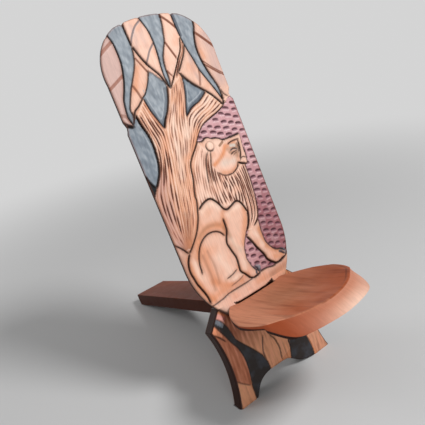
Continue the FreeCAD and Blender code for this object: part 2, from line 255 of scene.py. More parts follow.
LEAF_LEFT = [(-120, 982), (-111, 955), (-110, 920), (-112, 900), (-120, 870), (-130, 845),
             (-142, 820), (-147, 795), (-148, 778), (-142, 756)]
LEAF_LEFT_END = [(-69, 1000), (-67, 950), (-67, 937), (-74, 907), (-84, 885), (-100, 860),
                 (-115, 837), (-132, 805), (-136, 792), (-134, 778), (-142, 756)]
LEAF_MIDDLE = [(-22, 1008), (-8, 970), (-5, 944), (-5, 920), (-7, 900), (-11, 870), (-12, 845),
               (-8, 815)]
LEAF_MIDDLE_END = [(43, 1006), (39, 975), (32, 950), (26, 930), (15, 912), (5, 892), (0, 870),
                   (-1, 850), (-3, 832), (-8, 815)]
LEAF_RIGHT = [(74, 1002), (75, 960), (77, 930), (82, 900), (89, 870), (95, 840), (105, 814),
              (115, 790), (125, 764), (130, 746)]
LEAF_RIGHT_END = [(134, 972), (128, 948), (121, 932), (115, 914), (111, 894), (111, 870),
                  (114, 850), (120, 824), (127, 800), (132, 780), (132, 755), (130, 746)]
STEM_CUT = [(-67, 937), (-55, 905), (-42, 880), (-25, 855), (-17, 835), (-8, 815)]
BRANCH_CUT = [(30, 849), (45, 827), (62, 807), (80, 790), (100, 770), (115, 750), (126, 733)]
LOBE_FOOT = [(-142, 757), (-128, 786), (-112, 797), (-91, 814), (-80, 822), (-62, 847),
             (-50, 872)]
DIAMOND = [(-47, 870), (-20, 837), (-16, 822), (-25, 795), (-40, 767), (-57, 745), (-67, 727),
           (-75, 750), (-85, 780), (-91, 812), (-80, 822), (-60, 847)]
WINDOW = [(38, 832), (60, 807), (86, 781), (72, 771), (55, 762), (30, 753), (5, 736), (15, 760),
          (25, 785), (33, 812)]
TWIG_LEFT = [(73, 930), (62, 902), (45, 880), (27, 857), (6, 832), (-8, 815)]
TWIG_RIGHT = [(81, 914), (65, 887), (47, 865), (32, 848)]
TRUNK_LEFT = [(-128, 780), (-124, 754), (-117, 729), (-114, 700), (-116, 680), (-119, 658),
              (-127, 633), (-140, 613), (-150, 600), (-162, 583), (-168, 565)]
TRUNK_RIGHT = [(-137, 421), (-120, 435), (-102, 453), (-90, 468), (-77, 490), (-70, 508),
               (-62, 530), (-60, 545), (-55, 563), (-47, 585), (-42, 608), (-37, 623),
               (-25, 638), (-7, 655), (5, 668)]
BRANCH_FOOT = [(5, 668), (17, 682), (30, 695), (45, 705), (67, 712), (100, 722), (126, 733)]
BRANCH_TOP = [(88, 782), (72, 771), (55, 762), (30, 754), (5, 737)]
MANE_FOOT = [(-65, 509), (-50, 518), (-32, 523), (-20, 521), (-10, 511), (-2, 498), (5, 484),
             (15, 479), (30, 483), (45, 488), (55, 486), (62, 478), (67, 465), (70, 450),
             (67, 438), (60, 420), (47, 405)]
MANE_FRONT = [(47, 403), (62, 401), (75, 408), (95, 420), (105, 438), (112, 463), (116, 488),
              (119, 510), (121, 535), (121, 556), (124, 570)]
JAW = [(27, 580), (30, 575), (42, 564), (55, 559), (70, 558), (85, 563), (95, 570), (101, 581)]
MOUTH = [(101, 580), (108, 575), (117, 571), (129, 567)]
CROWN_OF_HEAD = [(5, 668), (20, 665), (32, 670), (42, 668), (50, 663), (65, 660), (75, 655),
                 (82, 650), (105, 649), (140, 650)]
PROFILE = [(140, 650), (139, 640), (136, 620), (134, 605), (134, 592), (132, 578), (129, 567)]
CHEEK = [(27, 634), (22, 615), (21, 598), (27, 580)]
HAUNCH = [(-126, 360), (-124, 368), (-122, 385), (-115, 405), (-102, 425), (-85, 438),
          (-65, 444), (-45, 441), (-32, 433), (-23, 420)]
SPINE = [(-137, 421), (-150, 400), (-154, 378), (-151, 358), (-149, 345), (-142, 325),
         (-136, 305), (-134, 284)]
NEAR_LEG_REAR = [(-9, 462), (-11, 433), (-20, 415), (-25, 400), (-22, 383), (-16, 360),
                 (-15, 350), (-17, 333), (-18, 318), (-7, 303), (5, 288), (20, 285), (38, 289)]
NEAR_LEG_FRONT = [(69, 450), (67, 438), (57, 418), (45, 403), (30, 383), (20, 365), (17, 350),
                  (15, 338), (19, 320), (24, 308), (40, 290)]
FAR_LEG_REAR = [(41, 390), (50, 373), (57, 355), (62, 345), (72, 325), (77, 308), (97, 289),
                (112, 288), (130, 293)]
FAR_LEG_FRONT = [(96, 418), (92, 395), (91, 373), (92, 355), (100, 338), (112, 323), (130, 316),
                 (142, 306)]
BASE_LINE = [(-140, 275), (-100, 278), (-70, 283), (-5, 284), (52, 290), (82, 285), (97, 286),
             (112, 286), (130, 291), (150, 303)]
EAR_AT, EAR_HALF = (37, 646), 11.5

# The painted legs below the picture
STEP_LINE = arc((-122, 261), (0, 200), (122, 261))
BAND_LEFT = [(-149, 229), (-140, 210), (-131, 191), (-121, 167), (-109, 144), (-102, 113),
             (-103, 83), (-107, 58), (-112, 35), (-114, -5)]
BAND_LEFT_END = [(-139, 243), (-124, 228), (-114, 205), (-106, 170), (-91, 148), (-69, 120),
                 (-50, 92), (-42, 70), (-41, 40)]
BAND_RIGHT = [(42, 85), (41, 65), (30, 30)]
BAND_RIGHT_END = [(95, 88), (107, 55), (110, 25), (108, -5)]

# The picture's fields: how far each lies below the board's face, its colour and its outline.
# Later fields lie over earlier ones.
FIELDS = [
    ("ground", 5.0, MAUVE, [(-20, 640), (4, 668)] + BRANCH_FOOT[1:]
     + [(150, 750), (175, 752), (175, 285), (10, 285)]),
    ("base", 0.0, PALE, [(-175, 200), (-175, 275)] + BASE_LINE + [(175, 303), (175, 200)]),
    ("strip", 5.0, SLATE, [(-175, 754), (-132, 770)] + TRUNK_LEFT[:9]
     + [(-161, 618), (-175, 640)]),
    ("hollow", 6.0, BLACK, [(-175, 640), (-163, 630), (-156, 612), (-150, 600), (-160, 585),
                            (-175, 566)]),
    ("trunk", 1.0, TAN, TRUNK_LEFT + [(-175, 460), (-150, 440), (-138, 421)] + TRUNK_RIGHT
     + BRANCH_FOOT + BRANCH_TOP + [(15, 760), (25, 785), (33, 812), (36, 835), (30, 849)]
     + TWIG_RIGHT[::-1] + TWIG_LEFT
     + [(-16, 822), (-25, 795), (-40, 767), (-57, 745), (-67, 727), (-75, 750), (-85, 780),
        (-91, 813), (-112, 797)]),
    ("left lobe", 1.2, PINK, [(-175, 770), (-160, 764)] + LEAF_LEFT[::-1]
     + [(-140, 1010), (-175, 1010)]),
    ("low lobe", 0.8, PEACH, LOBE_FOOT + STEM_CUT[:3][::-1] + LEAF_LEFT_END[3:]),
    ("peach lobe", 0.4, PALE, [(-69, 1010)] + STEM_CUT + LEAF_MIDDLE[::-1] + [(-22, 1010)]),
    ("cream lobe", 0.4, PALE, [(43, 1010)] + LEAF_MIDDLE_END + TWIG_LEFT[::-1]
     + [(77, 940), (74, 1010)]),
    ("pink lobe", 0.8, PEACH, TWIG_RIGHT + BRANCH_CUT + LEAF_RIGHT[2:][::-1]),
    ("right lobe", 0.6, PEACH, LEAF_RIGHT_END
     + [(150, 752), (175, 765), (175, 1010), (130, 1010)]),
    ("leaf left", 3.4, SLATE, LEAF_LEFT + LEAF_LEFT_END[::-1] + [(-69, 1010), (-125, 1010)]),
    ("leaf middle", 3.4, SLATE, LEAF_MIDDLE + LEAF_MIDDLE_END[::-1] + [(43, 1010), (-22, 1010)]),
    ("leaf right", 3.4, SLATE, LEAF_RIGHT + LEAF_RIGHT_END[::-1] + [(140, 1010), (72, 1010)]),
    ("diamond", 4.4, SLATE, DIAMOND),
    ("window", 4.4, SLATE, WINDOW),
    ("rim", 0.8, PEACH, [(-175, 460), (-150, 440), (-138, 421)] + SPINE + [(-175, 278)]),
    ("far leg", 1.6, PEACH, FAR_LEG_REAR + [(142, 298), (142, 306)] + FAR_LEG_FRONT[::-1]
     + [(75, 408), (50, 400)]),
    ("body", 0.6, PEACH, MANE_FOOT[:-1] + NEAR_LEG_FRONT[2:]
     + [(20, 285), (-5, 284), (-70, 283), (-100, 278), (-134, 276)]
     + SPINE[::-1] + TRUNK_RIGHT[1:6]),
    ("mane", 0.6, PALE, TRUNK_RIGHT[6:] + CHEEK + JAW + [(110, 573)] + MANE_FRONT[::-1]
     + MANE_FOOT[::-1]),
    ("head", 0.2, PALE, CROWN_OF_HEAD + PROFILE + MOUTH[::-1] + JAW[::-1] + CHEEK[::-1]),
]

# Carved lines: half width, depth, how dark, and the points. Their ends fade over a few
# millimetres.
DEEP, FIRM, FINE, HAIR = (2.5, 3.2, 1.0), (2.0, 2.4, 0.95), (1.6, 1.6, 0.85), (1.2, 0.9, 0.6)
GASH, FACE = (4.2, 3.8, 1.0), (1.5, 1.5, 0.85)
CARVED = [
    (DEEP, STEM_CUT), (DEEP, BRANCH_CUT), (DEEP, MANE_FOOT), (DEEP, SPINE), (DEEP, NEAR_LEG_REAR),
    (DEEP, FAR_LEG_REAR), (DEEP, TRUNK_LEFT[:9]), (DEEP, LEAF_LEFT), (DEEP, LEAF_MIDDLE),
    (DEEP, LEAF_RIGHT), (FIRM, LEAF_RIGHT_END), (FINE, LEAF_MIDDLE_END),
    (FIRM, [(-69, 1006), (-68, 960), (-67, 937)]),
    (FINE, LEAF_LEFT_END[2:]),
    (GASH, [(-172, 774), (-160, 763), (-150, 757), (-142, 755)]),
    (FIRM, LOBE_FOOT), (FIRM, DIAMOND[2:7]), (DEEP, DIAMOND[6:10]),
    (FIRM, [(33, 845), (36, 832), (33, 812), (25, 785), (15, 760), (5, 736)]),
    (FINE, BRANCH_TOP), (FIRM, TRUNK_RIGHT + BRANCH_FOOT[1:]), (FIRM, CROWN_OF_HEAD),
    (DEEP, CROWN_OF_HEAD[4:]), (FINE, PROFILE), (FINE, JAW[1:]), (FIRM, JAW[3:8]), (DEEP, MOUTH),
    (FIRM, HAUNCH), (FIRM, NEAR_LEG_FRONT), (FIRM, FAR_LEG_FRONT), (FIRM, MANE_FRONT[2:]),
    (FINE, BASE_LINE),
    (FIRM, TWIG_LEFT), (FIRM, TWIG_RIGHT), (DEEP, [(-165, 636), (-158, 615), (-150, 600)]),
    (FIRM, [(-172, 462), (-152, 441), (-138, 421)]), (DEEP, [(126, 733), (130, 746), (133, 764)]),
    (FINE, [(-65, 318), (-45, 321), (-27, 327)]), (HAIR, [(-60, 296), (-30, 300), (-14, 306)]),
    (FINE, [(150, 752), (140, 760), (134, 776)]), (FINE, [(30, 308), (36, 300), (40, 292)]),
    (FINE, [(122, 310), (130, 304), (137, 298)]),
]
FACE_LINES = [
    (FACE, [(90, 634), (104, 637), (118, 638), (130, 637)]),
    (FIRM, [(126, 633), (124, 617), (119, 599), (112, 587)]),
    (FINE, [(120, 629), (119, 616), (114, 603)]),
    (FACE, [(93, 616), (103, 618), (113, 614)]),
    (FINE, [(88, 605), (99, 609), (111, 610)]),
    (HAIR, [(94, 601), (103, 604), (110, 605)]),
    (FACE, [(110, 581), (114, 586), (122, 588), (132, 583)]),
    (DEEP, [(138, 606), (136, 592), (133, 578), (129, 567)]),
    (FINE, [(22, 634), (12, 620), (5, 604), (-3, 582), (-8, 560)]),
    (FINE, [(31, 632), (25, 616), (17, 598), (11, 580), (7, 560)]),
]

# Flat painted lines: half width, colour, strength and points
PAINTED = [
    (4.2, STRIPE, 0.85, [(-172, 930), (-154, 937), (-117, 957)]),
    (4.0, STRIPE, 0.85, [(-172, 851), (-158, 857), (-121, 876)]),
    (2.6, SLATE_DARK, 0.75, [(-22, 992), (-40, 980), (-57, 960), (-66, 945)]),
    (2.6, SLATE_DARK, 0.75, [(-8, 932), (-25, 917), (-37, 902), (-48, 888)]),
    (2.6, BROWN, 0.9, [(-71, 908), (-62, 888), (-54, 871)]),
    (3.2, BROWN, 0.8, [(-106, 846), (-101, 832), (-97, 815)]),
    (3.4, BROWN, 0.95, [(42, 992), (56, 978), (72, 958)]),
    (3.0, BROWN, 0.95, [(26, 927), (33, 906), (42, 880)]),
    (2.4, BROWN, 0.9, [(1, 858), (6, 848), (12, 840)]),
    (3.2, BROWN, 0.65, [(92, 838), (87, 822), (79, 802)]),
    (3.8, BROWN, 0.95, [(124, 932), (142, 913), (166, 886)]),
    (1.5, BROWN, 1.0, [(114, 858), (132, 839), (150, 823), (168, 808)]),
    (1.5, BROWN, 1.0, [(115, 849), (132, 834), (150, 818), (168, 803)]),
    (1.2, BROWN, 0.8, [(120, 842), (136, 827), (152, 813)]),
    (4.2, BROWN, 0.5, [(-168, 790), (-153, 782), (-148, 768)]),
    (3.0, BROWN, 0.6, [(-133, 786), (-135, 774), (-139, 764)]),
    (4.4, SLATE_DARK, 0.85, [(78, 1000), (80, 965), (80, 935)]),
    (3.2, SLATE_DARK, 0.95, [(25, 308), (28, 300), (26, 292)]),
    (3.0, SLATE_DARK, 0.95, [(33, 310), (37, 302), (35, 293)]),
    (3.4, SLATE, 0.9, [(40, 311), (44, 303), (41, 294)]),
    (3.4, SLATE_DARK, 0.95, [(122, 312), (128, 309), (133, 303)]),
    (3.6, SLATE, 0.95, [(131, 315), (138, 311), (142, 304)]),
    (2.4, SLATE_DARK, 0.8, [(136, 300), (141, 299), (144, 296)]),
    (2.6, UMBER, 0.8, [(126, 633), (124, 617), (119, 599), (113, 588)]),
    (2.4, BROWN, 0.6, [(92, 634), (108, 637), (128, 635)]),
    (4.2, EYE, 0.8, [(98, 628), (109, 625)]),
    (2.6, SLATE_DARK, 0.6, [(92, 616), (103, 618), (112, 614)]),
    (3.4, UMBER, 0.45, [(86, 612), (95, 608), (106, 607)]),
    (3.4, UMBER, 0.85, [(65, 638), (71, 641), (77, 644)]),
    # Painted shade on the sloped walls of the diamond and the window, and painted highlight along
    # their inner edges
    (5.0, SLATE_DARK, 0.5, [(-24, 818), (-31, 795), (-46, 767), (-66, 734)]),
    (5.0, SLATE_DARK, 0.4, [(-87, 806), (-81, 778), (-72, 752), (-67, 738)]),
    (1.0, SLATE_PALE, 0.9, [(-84, 830), (-79, 800), (-72, 772), (-66, 752), (-52, 768),
                            (-36, 796), (-30, 818)]),
    (5.5, SLATE_DARK, 0.5, [(36, 826), (29, 795), (19, 770), (10, 746)]),
    (5.0, SLATE_DARK, 0.7, [(12, 744), (32, 757), (60, 768), (80, 779)]),
    (1.0, SLATE_PALE, 0.8, [(40, 812), (35, 792), (26, 768), (40, 770), (62, 778), (76, 786)]),
    (1.2, SLATE_PALE, 0.7, [(-128, 740), (-122, 700), (-124, 660), (-132, 640)]),
]

# Soft stains, some pale and partly painted highlight: half width, colour, strength and points
STAINS = [
    (13, ORANGE, 0.75, [(-118, 400), (-100, 440), (-70, 456), (-40, 456), (-16, 444)]),
    (9, ORANGE, 0.65, [(-20, 425), (-12, 455), (-2, 478)]),
    (8, ORANGE, 0.6, [(-146, 390), (-143, 350), (-132, 310), (-120, 288)]),
    (7, UMBER, 0.5, [(-16, 440), (-10, 420), (-8, 392), (4, 366)]),
    (6, UMBER, 0.45, [(-96, 446), (-74, 458), (-50, 460), (-26, 452)]),
    (7, UMBER, 0.4, [(84, 392), (82, 370), (88, 345)]),
    (8, ORANGE, 0.6, [(-20, 330), (-12, 316), (0, 300)]),
    (11, ORANGE, 0.55, [(-125, 292), (-90, 296), (-50, 300), (-25, 296)]),
    (7, ORANGE, 0.95, [(80, 633), (70, 619), (57, 609), (43, 602), (28, 597)]),
    (8, ORANGE, 0.6, [(46, 570), (70, 564), (95, 574), (104, 590)]),
    (6, UMBER, 0.5, [(84, 622), (94, 622), (104, 620), (113, 620)]),
    (5, UMBER, 0.55, [(116, 626), (112, 610), (106, 596)]),
    (7, UMBER, 0.35, [(90, 612), (98, 604), (108, 602)]),
    (6, ORANGE, 0.6, [(84, 630), (96, 634), (112, 634)]),
    (10, PALE_WOOD_AND_HIGHLIGHT, 0.4, [(45, 655), (62, 650), (80, 646)]),
    (12, EYE, 0.45, [(56, 592), (76, 592), (90, 588)]),
    (9, ORANGE, 0.6, [(62, 460), (55, 436), (38, 410), (22, 380)]),
    (8, ORANGE, 0.65, [(86, 395), (84, 370), (88, 345), (104, 326), (128, 308)]),
    (12, ORANGE, 0.5, [(20, 270), (60, 268), (100, 270), (125, 276)]),
    (12, ORANGE, 0.6, [(20, 694), (-4, 668), (-34, 630), (-54, 590), (-68, 545), (-84, 500),
                       (-108, 464), (-134, 436)]),
    (9, ORANGE, 0.65, [(-92, 800), (-86, 760), (-80, 722), (-86, 680), (-96, 640)]),
    (8, ORANGE, 0.55, [(-98, 640), (-108, 590), (-116, 540), (-124, 490), (-134, 446)]),
    (6, ORANGE, 0.5, [(12, 800), (0, 765), (-4, 735), (-14, 705)]),
    (16, BARK_GREY, 0.85, [(-128, 620), (-146, 580), (-156, 530), (-154, 480), (-148, 446)]),
    (9, PALE_WOOD_AND_HIGHLIGHT, 0.7, [(-20, 770), (-40, 730), (-52, 690), (-60, 650), (-74, 600)]),
    (9, PALE_WOOD_AND_HIGHLIGHT, 0.7, [(90, 758), (50, 742), (16, 722), (-10, 690)]),
    (9, PALE_WOOD_AND_HIGHLIGHT, 0.7, [(-60, 503), (-38, 510), (-20, 508), (-8, 492)]),
    (8, PALE_WOOD_AND_HIGHLIGHT, 0.7, [(8, 468), (30, 472), (50, 474)]),
    (14, PALE_WOOD_AND_HIGHLIGHT, 0.6, [(-62, 380), (-52, 350), (-50, 330)]),
    (7, PALE_WOOD_AND_HIGHLIGHT, 0.9, [(-60, 310), (-40, 309), (-20, 312)]),
    (9, PALE_WOOD_AND_HIGHLIGHT, 0.6, [(-134, 392), (-136, 372), (-130, 350)]),
    (9, PALE_WOOD_AND_HIGHLIGHT, 0.6, [(-8, 400), (2, 372), (2, 340), (-4, 318)]),
    (6, PALE_WOOD_AND_HIGHLIGHT, 0.6, [(60, 398), (72, 380), (80, 350)]),
    (9, ORANGE, 0.6, [(102, 305), (116, 300), (128, 302)]),
    (13, BROWN, 0.4, [(72, 268), (110, 270), (150, 276)]),
    (10, ORANGE, 0.6, [(-104, 330), (-84, 312), (-60, 302)]),
    (14, ORANGE, 0.6, [(-94, 410), (-100, 370), (-98, 330)]),
    (9, ORANGE, 0.6, [(-148, 410), (-150, 370), (-146, 330), (-132, 292)]),
    (8, BROWN, 0.35, [(-160, 420), (-160, 360), (-152, 300)]),
    (5, BROWN, 0.35, [(-105, 400), (-104, 350), (-108, 310)]),
    (4, BROWN, 0.3, [(-88, 405), (-84, 360), (-90, 320)]),
    (7, ORANGE, 0.6, [(122, 920), (118, 896), (122, 866)]),
    (7, PINK, 0.7, [(88, 900), (80, 870), (76, 840), (84, 815)]),
    (22, PINK, 0.9, [(150, 920), (156, 880), (148, 840), (150, 800)]),
    (12, PINK, 0.6, [(118, 955), (116, 930), (112, 900)]),
    (10, PINK, 0.5, [(-20, 985), (-30, 960), (-30, 930)]),
    (12, PALE_WOOD_AND_HIGHLIGHT, 0.75, [(-8, 725), (-22, 690), (-36, 658)]),
    (11, BARK_WARM, 0.85, [(-26, 640), (-52, 585), (-66, 535), (-84, 490), (-106, 456)]),
    (16, BROWN, 0.55, [(-104, 510), (-120, 465), (-138, 432)]),
    (6, UMBER, 0.5, [(0, 560), (6, 590), (14, 612)]),
    (9, ORANGE, 0.6, [(-78, 885), (-90, 860), (-104, 838)]),
    (7, PINK, 0.6, [(-60, 925), (-50, 950), (-50, 985)]),
]

# Strokes of bark and hair run between a left and a right guide: the guides, how many lie side
# by side, how often each swells and thins, its half width, and how dark it is where it is thin
# and where it swells.
BARK = [
    ([(-124, 774), (-118, 735), (-114, 700), (-116, 672), (-126, 640), (-143, 608), (-160, 575),
      (-164, 520), (-158, 470), (-141, 430)],
     [(-93, 808), (-86, 775), (-77, 745), (-70, 722), (-73, 690), (-81, 650), (-93, 600),
      (-106, 550), (-120, 490), (-137, 432)], 6, 4, 1.5, (0.45, 1.0)),
    ([(-5, 818), (-18, 792), (-36, 765), (-58, 736), (-69, 712), (-73, 690), (-81, 650),
      (-93, 600), (-106, 550), (-120, 490), (-137, 432)],
     [(33, 840), (27, 806), (17, 775), (3, 735), (-6, 700), (-18, 668), (-40, 632), (-52, 595),
      (-63, 550), (-74, 508), (-97, 465), (-133, 430)], 8, 6, 1.3, (0.2, 0.68)),
    ([(86, 778), (56, 760), (30, 751), (5, 733), (-8, 700), (-22, 668), (-42, 636)],
     [(124, 734), (95, 722), (62, 712), (38, 701), (18, 686), (-2, 664), (-30, 634)],
     6, 2, 1.3, (0.3, 0.9)),
    ([(74, 930), (62, 903), (45, 880), (28, 857), (8, 832)],
     [(81, 914), (66, 888), (48, 866), (34, 850), (28, 838)], 2, 1, 1.4, (0.85, 1.0)),
]
HAIRS = [
    ([(2, 664), (-22, 640), (-39, 614), (-47, 580), (-57, 545), (-62, 514)],
     [(20, 634), (10, 610), (2, 580), (-4, 550), (-6, 520), (-6, 496)], 7, 2, 1.2, (0.1, 0.5)),
    ([(22, 634), (13, 610), (5, 580), (0, 550), (-2, 520), (0, 494)],
     [(32, 574), (33, 550), (34, 520), (36, 488)], 4, 2, 1.3, (0.55, 0.88)),
    ([(38, 566), (38, 545), (38, 520), (40, 488)],
     [(72, 556), (76, 530), (74, 501), (67, 472)], 4, 2, 1.5, (0.7, 0.95)),
    ([(76, 556), (81, 528), (80, 495), (75, 455), (67, 430), (54, 408)],
     [(119, 574), (119, 545), (117, 510), (111, 468), (97, 428), (66, 404)], 6, 1, 1.4, (0.9, 1.0)),
]

# The strokes' fields, how strong the outermost strokes are, how much wider the strokes are
# painted than cut, and the seed of their wander
STROKES = [(BARK, ("trunk", "cream lobe", "rim"), 0.5, 1.2, 11),
           (HAIRS, ("mane",), 1.0, 1.38, 12)]

# The gouges in the ground lie in columns: how many columns and how far apart, how far apart the
# gouges of a column, and where the first starts and the last ends
GOUGE_COLUMNS, GROUND_WIDE, GROUND_STEP = 8, 23.0, 19.5
GROUND_LEFT, GROUND_FOOT, GROUND_TOP = 16, 287.0, 756
GOUGE_SHORT, GOUGE_LONG, GOUGE_BOW = 15, 20.5, 1.8

# Fields in grey paint. All others but the ground and the hollow are bare wood.
SLATES = ("leaf left", "leaf middle", "leaf right", "diamond", "window", "strip")
FIELD_NAMES = [field[0] for field in FIELDS]

# Paint on the legs: colour, strength and outline. Later patches lie over earlier ones.
LEG_PATCHES = [
    (LEG_RED, 0.7, [(-175, 80), (-175, 262), (-150, 240)] + BAND_LEFT[1:8]
     + [(-115, 43), (-137, 60), (-150, 73)]),
    (LEG_PALE, 0.8, [(-175, -10), (-175, 78), (-150, 73), (-137, 60), (-115, 42), (-117, -5)]),
    (LEG_PALE, 0.7, BAND_LEFT_END + [(0, 50), (41, 60), (60, 130), (0, 196), (-60, 212)]),
    (LEG_DULL, 0.6, [(120, -5), (175, -5), (175, 225), (130, 230), (96, 120), (108, 70)]),
    (HIP_ORANGE, 0.9, [(-166, 212), (-148, 230), (-134, 206), (-138, 192)]),
    (HIP_PINK, 0.95, [(-136, 240), (-129, 254), (-108, 232), (-120, 222)]),
    (BLACK, 0.97, BAND_LEFT + [(-41, 0)] + BAND_LEFT_END[::-1]),
    (SLATE, 0.85, [(-146, 236), (-139, 243), (-121, 221), (-128, 212)]),
    (BLACK, 0.97, BAND_RIGHT + [(30, -5)] + BAND_RIGHT_END[::-1]),
]
LEG_LINES = [
    (FIRM, [(-27, 136), (-40, 108), (-44, 88), (-41, 58)]),
    (FIRM, [(-6, 128), (5, 106), (8, 80), (3, 50)]),
    (FINE, BAND_LEFT), (FINE, BAND_LEFT_END), (FINE, BAND_RIGHT), (FINE, BAND_RIGHT_END),
    (FINE, [(-150, 73), (-137, 60), (-117, 43)]),
    (FIRM, [(-165, 212), (-149, 198), (-134, 178)]),
    (HAIR, [(60, 130), (66, 110), (62, 92), (42, 85)]),
]
# Dark corners above the slot's ends
SLOT_ENDS = [[(-74, 257), (-52, 251), (-68, 244)], [(36, 251), (66, 260), (66, 247)]]

# The rings behind the carved face: how deep each lies, how far in from the outline, and its
# colour, which is painted shade on the sides. The last one makes the wide bevel of the rear.
SIDE_RINGS = [(4.6, 0, SIDE_SHADE), (10, 0, SIDE_SHADE), (11.5, 2, SIDE_SHADE), (BACK_THICK, 34, REAR)]

# The rings behind the legs' face: how deep each lies, and its colour, painted shade on the sides
LEG_RINGS = [(12.6, SIDE_SHADE), (BACK_THICK - 1.5, SIDE_SHADE), (BACK_THICK, REAR)]

# How far down the seat's sides and nose each ring lies, as a share
SEAT_RINGS = (0.04, 0.1, 0.2, 0.34, 0.5, 0.66, 0.8, 0.9, 0.96, 1.0)


def lines_tree(samples):
    tree = kdtree.KDTree(len(samples))
    for i, (x, y) in enumerate(samples):
        tree.insert((x, y, 0), i)
    tree.balance()
    return tree


def nearest(tree, x, y):
    """The nearest sample of a tree for each point, and how far it is."""
    found = [tree.find((a, b, 0)) for a, b in zip(x.tolist(), y.tolist())]
    return np.array([f[1] for f in found]), np.array([f[2] for f in found])


def board_half(up):
    """Half the back board's width above its neck, without its notches."""
    flank = arc(NECK, LOW_FLANK, FLANK, 60)
    return np.interp(up, flank[:, 1], flank[:, 0])


def notched_half(up, deep):
    """Half its width with the notch at the side."""
    return board_half(up) - np.interp(up, NOTCH_UP, deep * NOTCH_SHAPE)


def leg_half(up):
    """Half the legs' width."""
    shin = arc(FOOT, SHIN, HIP, 80)
    path = np.vstack([shin, [NECK, (SEAM_HALF, SEAM_UP)]])
    return np.interp(up, path[:, 1], path[:, 0])


# Surfaces are grids whose points are placed by code, and then grow their sides and rear by
# extruding the open edge.

def read(items, name, width=3):
    """One property of all points, faces or values of a mesh, as rows."""
    flat = np.empty(len(items) * width)
    items.foreach_get(name, flat)
    return flat.reshape(-1, width)


def new_grid(name, columns, rows, places):
    """A new grid, with the column and row of each of its points and its place."""
    bpy.ops.object.select_all(action="DESELECT")
    bpy.ops.mesh.primitive_grid_add(x_subdivisions=columns, y_subdivisions=rows, size=2)
    piece = bpy.context.object
    piece.name = piece.data.name = name
    flat = read(piece.data.vertices, "co")
    i = np.rint((flat[:, 0] + 1) / 2 * columns).astype(int)
    j = np.rint((flat[:, 1] + 1) / 2 * rows).astype(int)
    return piece, i, j, places[j, i]


def put_points(piece, points, ring=slice(None)):
    flat = read(piece.data.vertices, "co")
    flat[ring] = points
    piece.data.vertices.foreach_set("co", flat.ravel())
    piece.data.update()


def put_colours(piece, colours):
    layer = piece.data.attributes.new("paint", "FLOAT_COLOR", "POINT")
    rgba = np.ones((len(colours), 4))
    rgba[:, :3] = colours
    layer.data.foreach_set("color", rgba.ravel())


def drop_faces(piece, chosen):
    """Deletes the chosen faces and the points that only they use."""
    bpy.ops.object.mode_set(mode="EDIT")
    bpy.ops.mesh.select_mode(type="FACE")
    bpy.ops.mesh.select_all(action="DESELECT")
    bpy.ops.object.mode_set(mode="OBJECT")
    piece.data.polygons.foreach_set("select", chosen)
    bpy.ops.object.mode_set(mode="EDIT")
    bpy.ops.mesh.delete(type="FACE")
    bpy.ops.object.mode_set(mode="OBJECT")


def pick_open_edge():
    """Goes to edit mode with only the open edge selected."""
    bpy.ops.object.mode_set(mode="EDIT")
    bpy.ops.mesh.select_mode(type="EDGE")
    bpy.ops.mesh.select_all(action="DESELECT")
    bpy.ops.mesh.select_non_manifold(
        extend=False, use_wire=False, use_boundary=True, use_multi_face=False,
        use_non_contiguous=False, use_verts=False)


def grow_ring(piece, move, colour):
    """Extrudes the open edge. The new points go where move(points, indices) puts them."""
    pick_open_edge()
    bpy.ops.mesh.extrude_region()
    bpy.ops.object.mode_set(mode="OBJECT")
    chosen = np.zeros(len(piece.data.vertices), bool)
    piece.data.vertices.foreach_get("select", chosen)
    ring = np.flatnonzero(chosen)
    points = read(piece.data.vertices, "co")[ring]
    put_points(piece, move(points, ring), ring)
    layer = piece.data.attributes["paint"].data
    rgba = read(layer, "color", 4)
    rgba[ring, :3] = colour(to_board(points)) if callable(colour) else colour
    layer.foreach_set("color", rgba.ravel())


def close_up(piece):
    """Fills the open edge, turns the faces outwards and smooths the shading."""
    pick_open_edge()
    bpy.ops.mesh.fill(use_beauty=True)
    bpy.ops.mesh.select_all(action="SELECT")
    bpy.ops.mesh.normals_make_consistent(inside=False)
    bpy.ops.object.mode_set(mode="OBJECT")
    bpy.ops.object.shade_smooth_by_angle(angle=SHARP_FROM)


# The relief

def faded(path, fade=7.0):
    """How strong a carved line is at each sample: its ends fade."""
    run = np.concatenate([[0], np.cumsum(np.linalg.norm(np.diff(path, axis=0), axis=1))])
    left = np.minimum(run, run[-1] - run)
    return np.clip(0.35 + left / fade, 0, 1)


def carved_samples(lines, step=0.6):
    """Samples along carved lines, and each sample's half width, depth and darkness."""
    samples, data = [], []
    for (half, deep, dark), points in lines:
        path = smooth(points, step)
        samples.append(path)
        strong = faded(path)
        data.append(np.stack([half * (0.6 + 0.4 * strong), deep * strong,
                              np.full(len(path), dark) * (0.4 + 0.6 * strong)], 1))
    return np.vstack(samples), np.vstack(data)


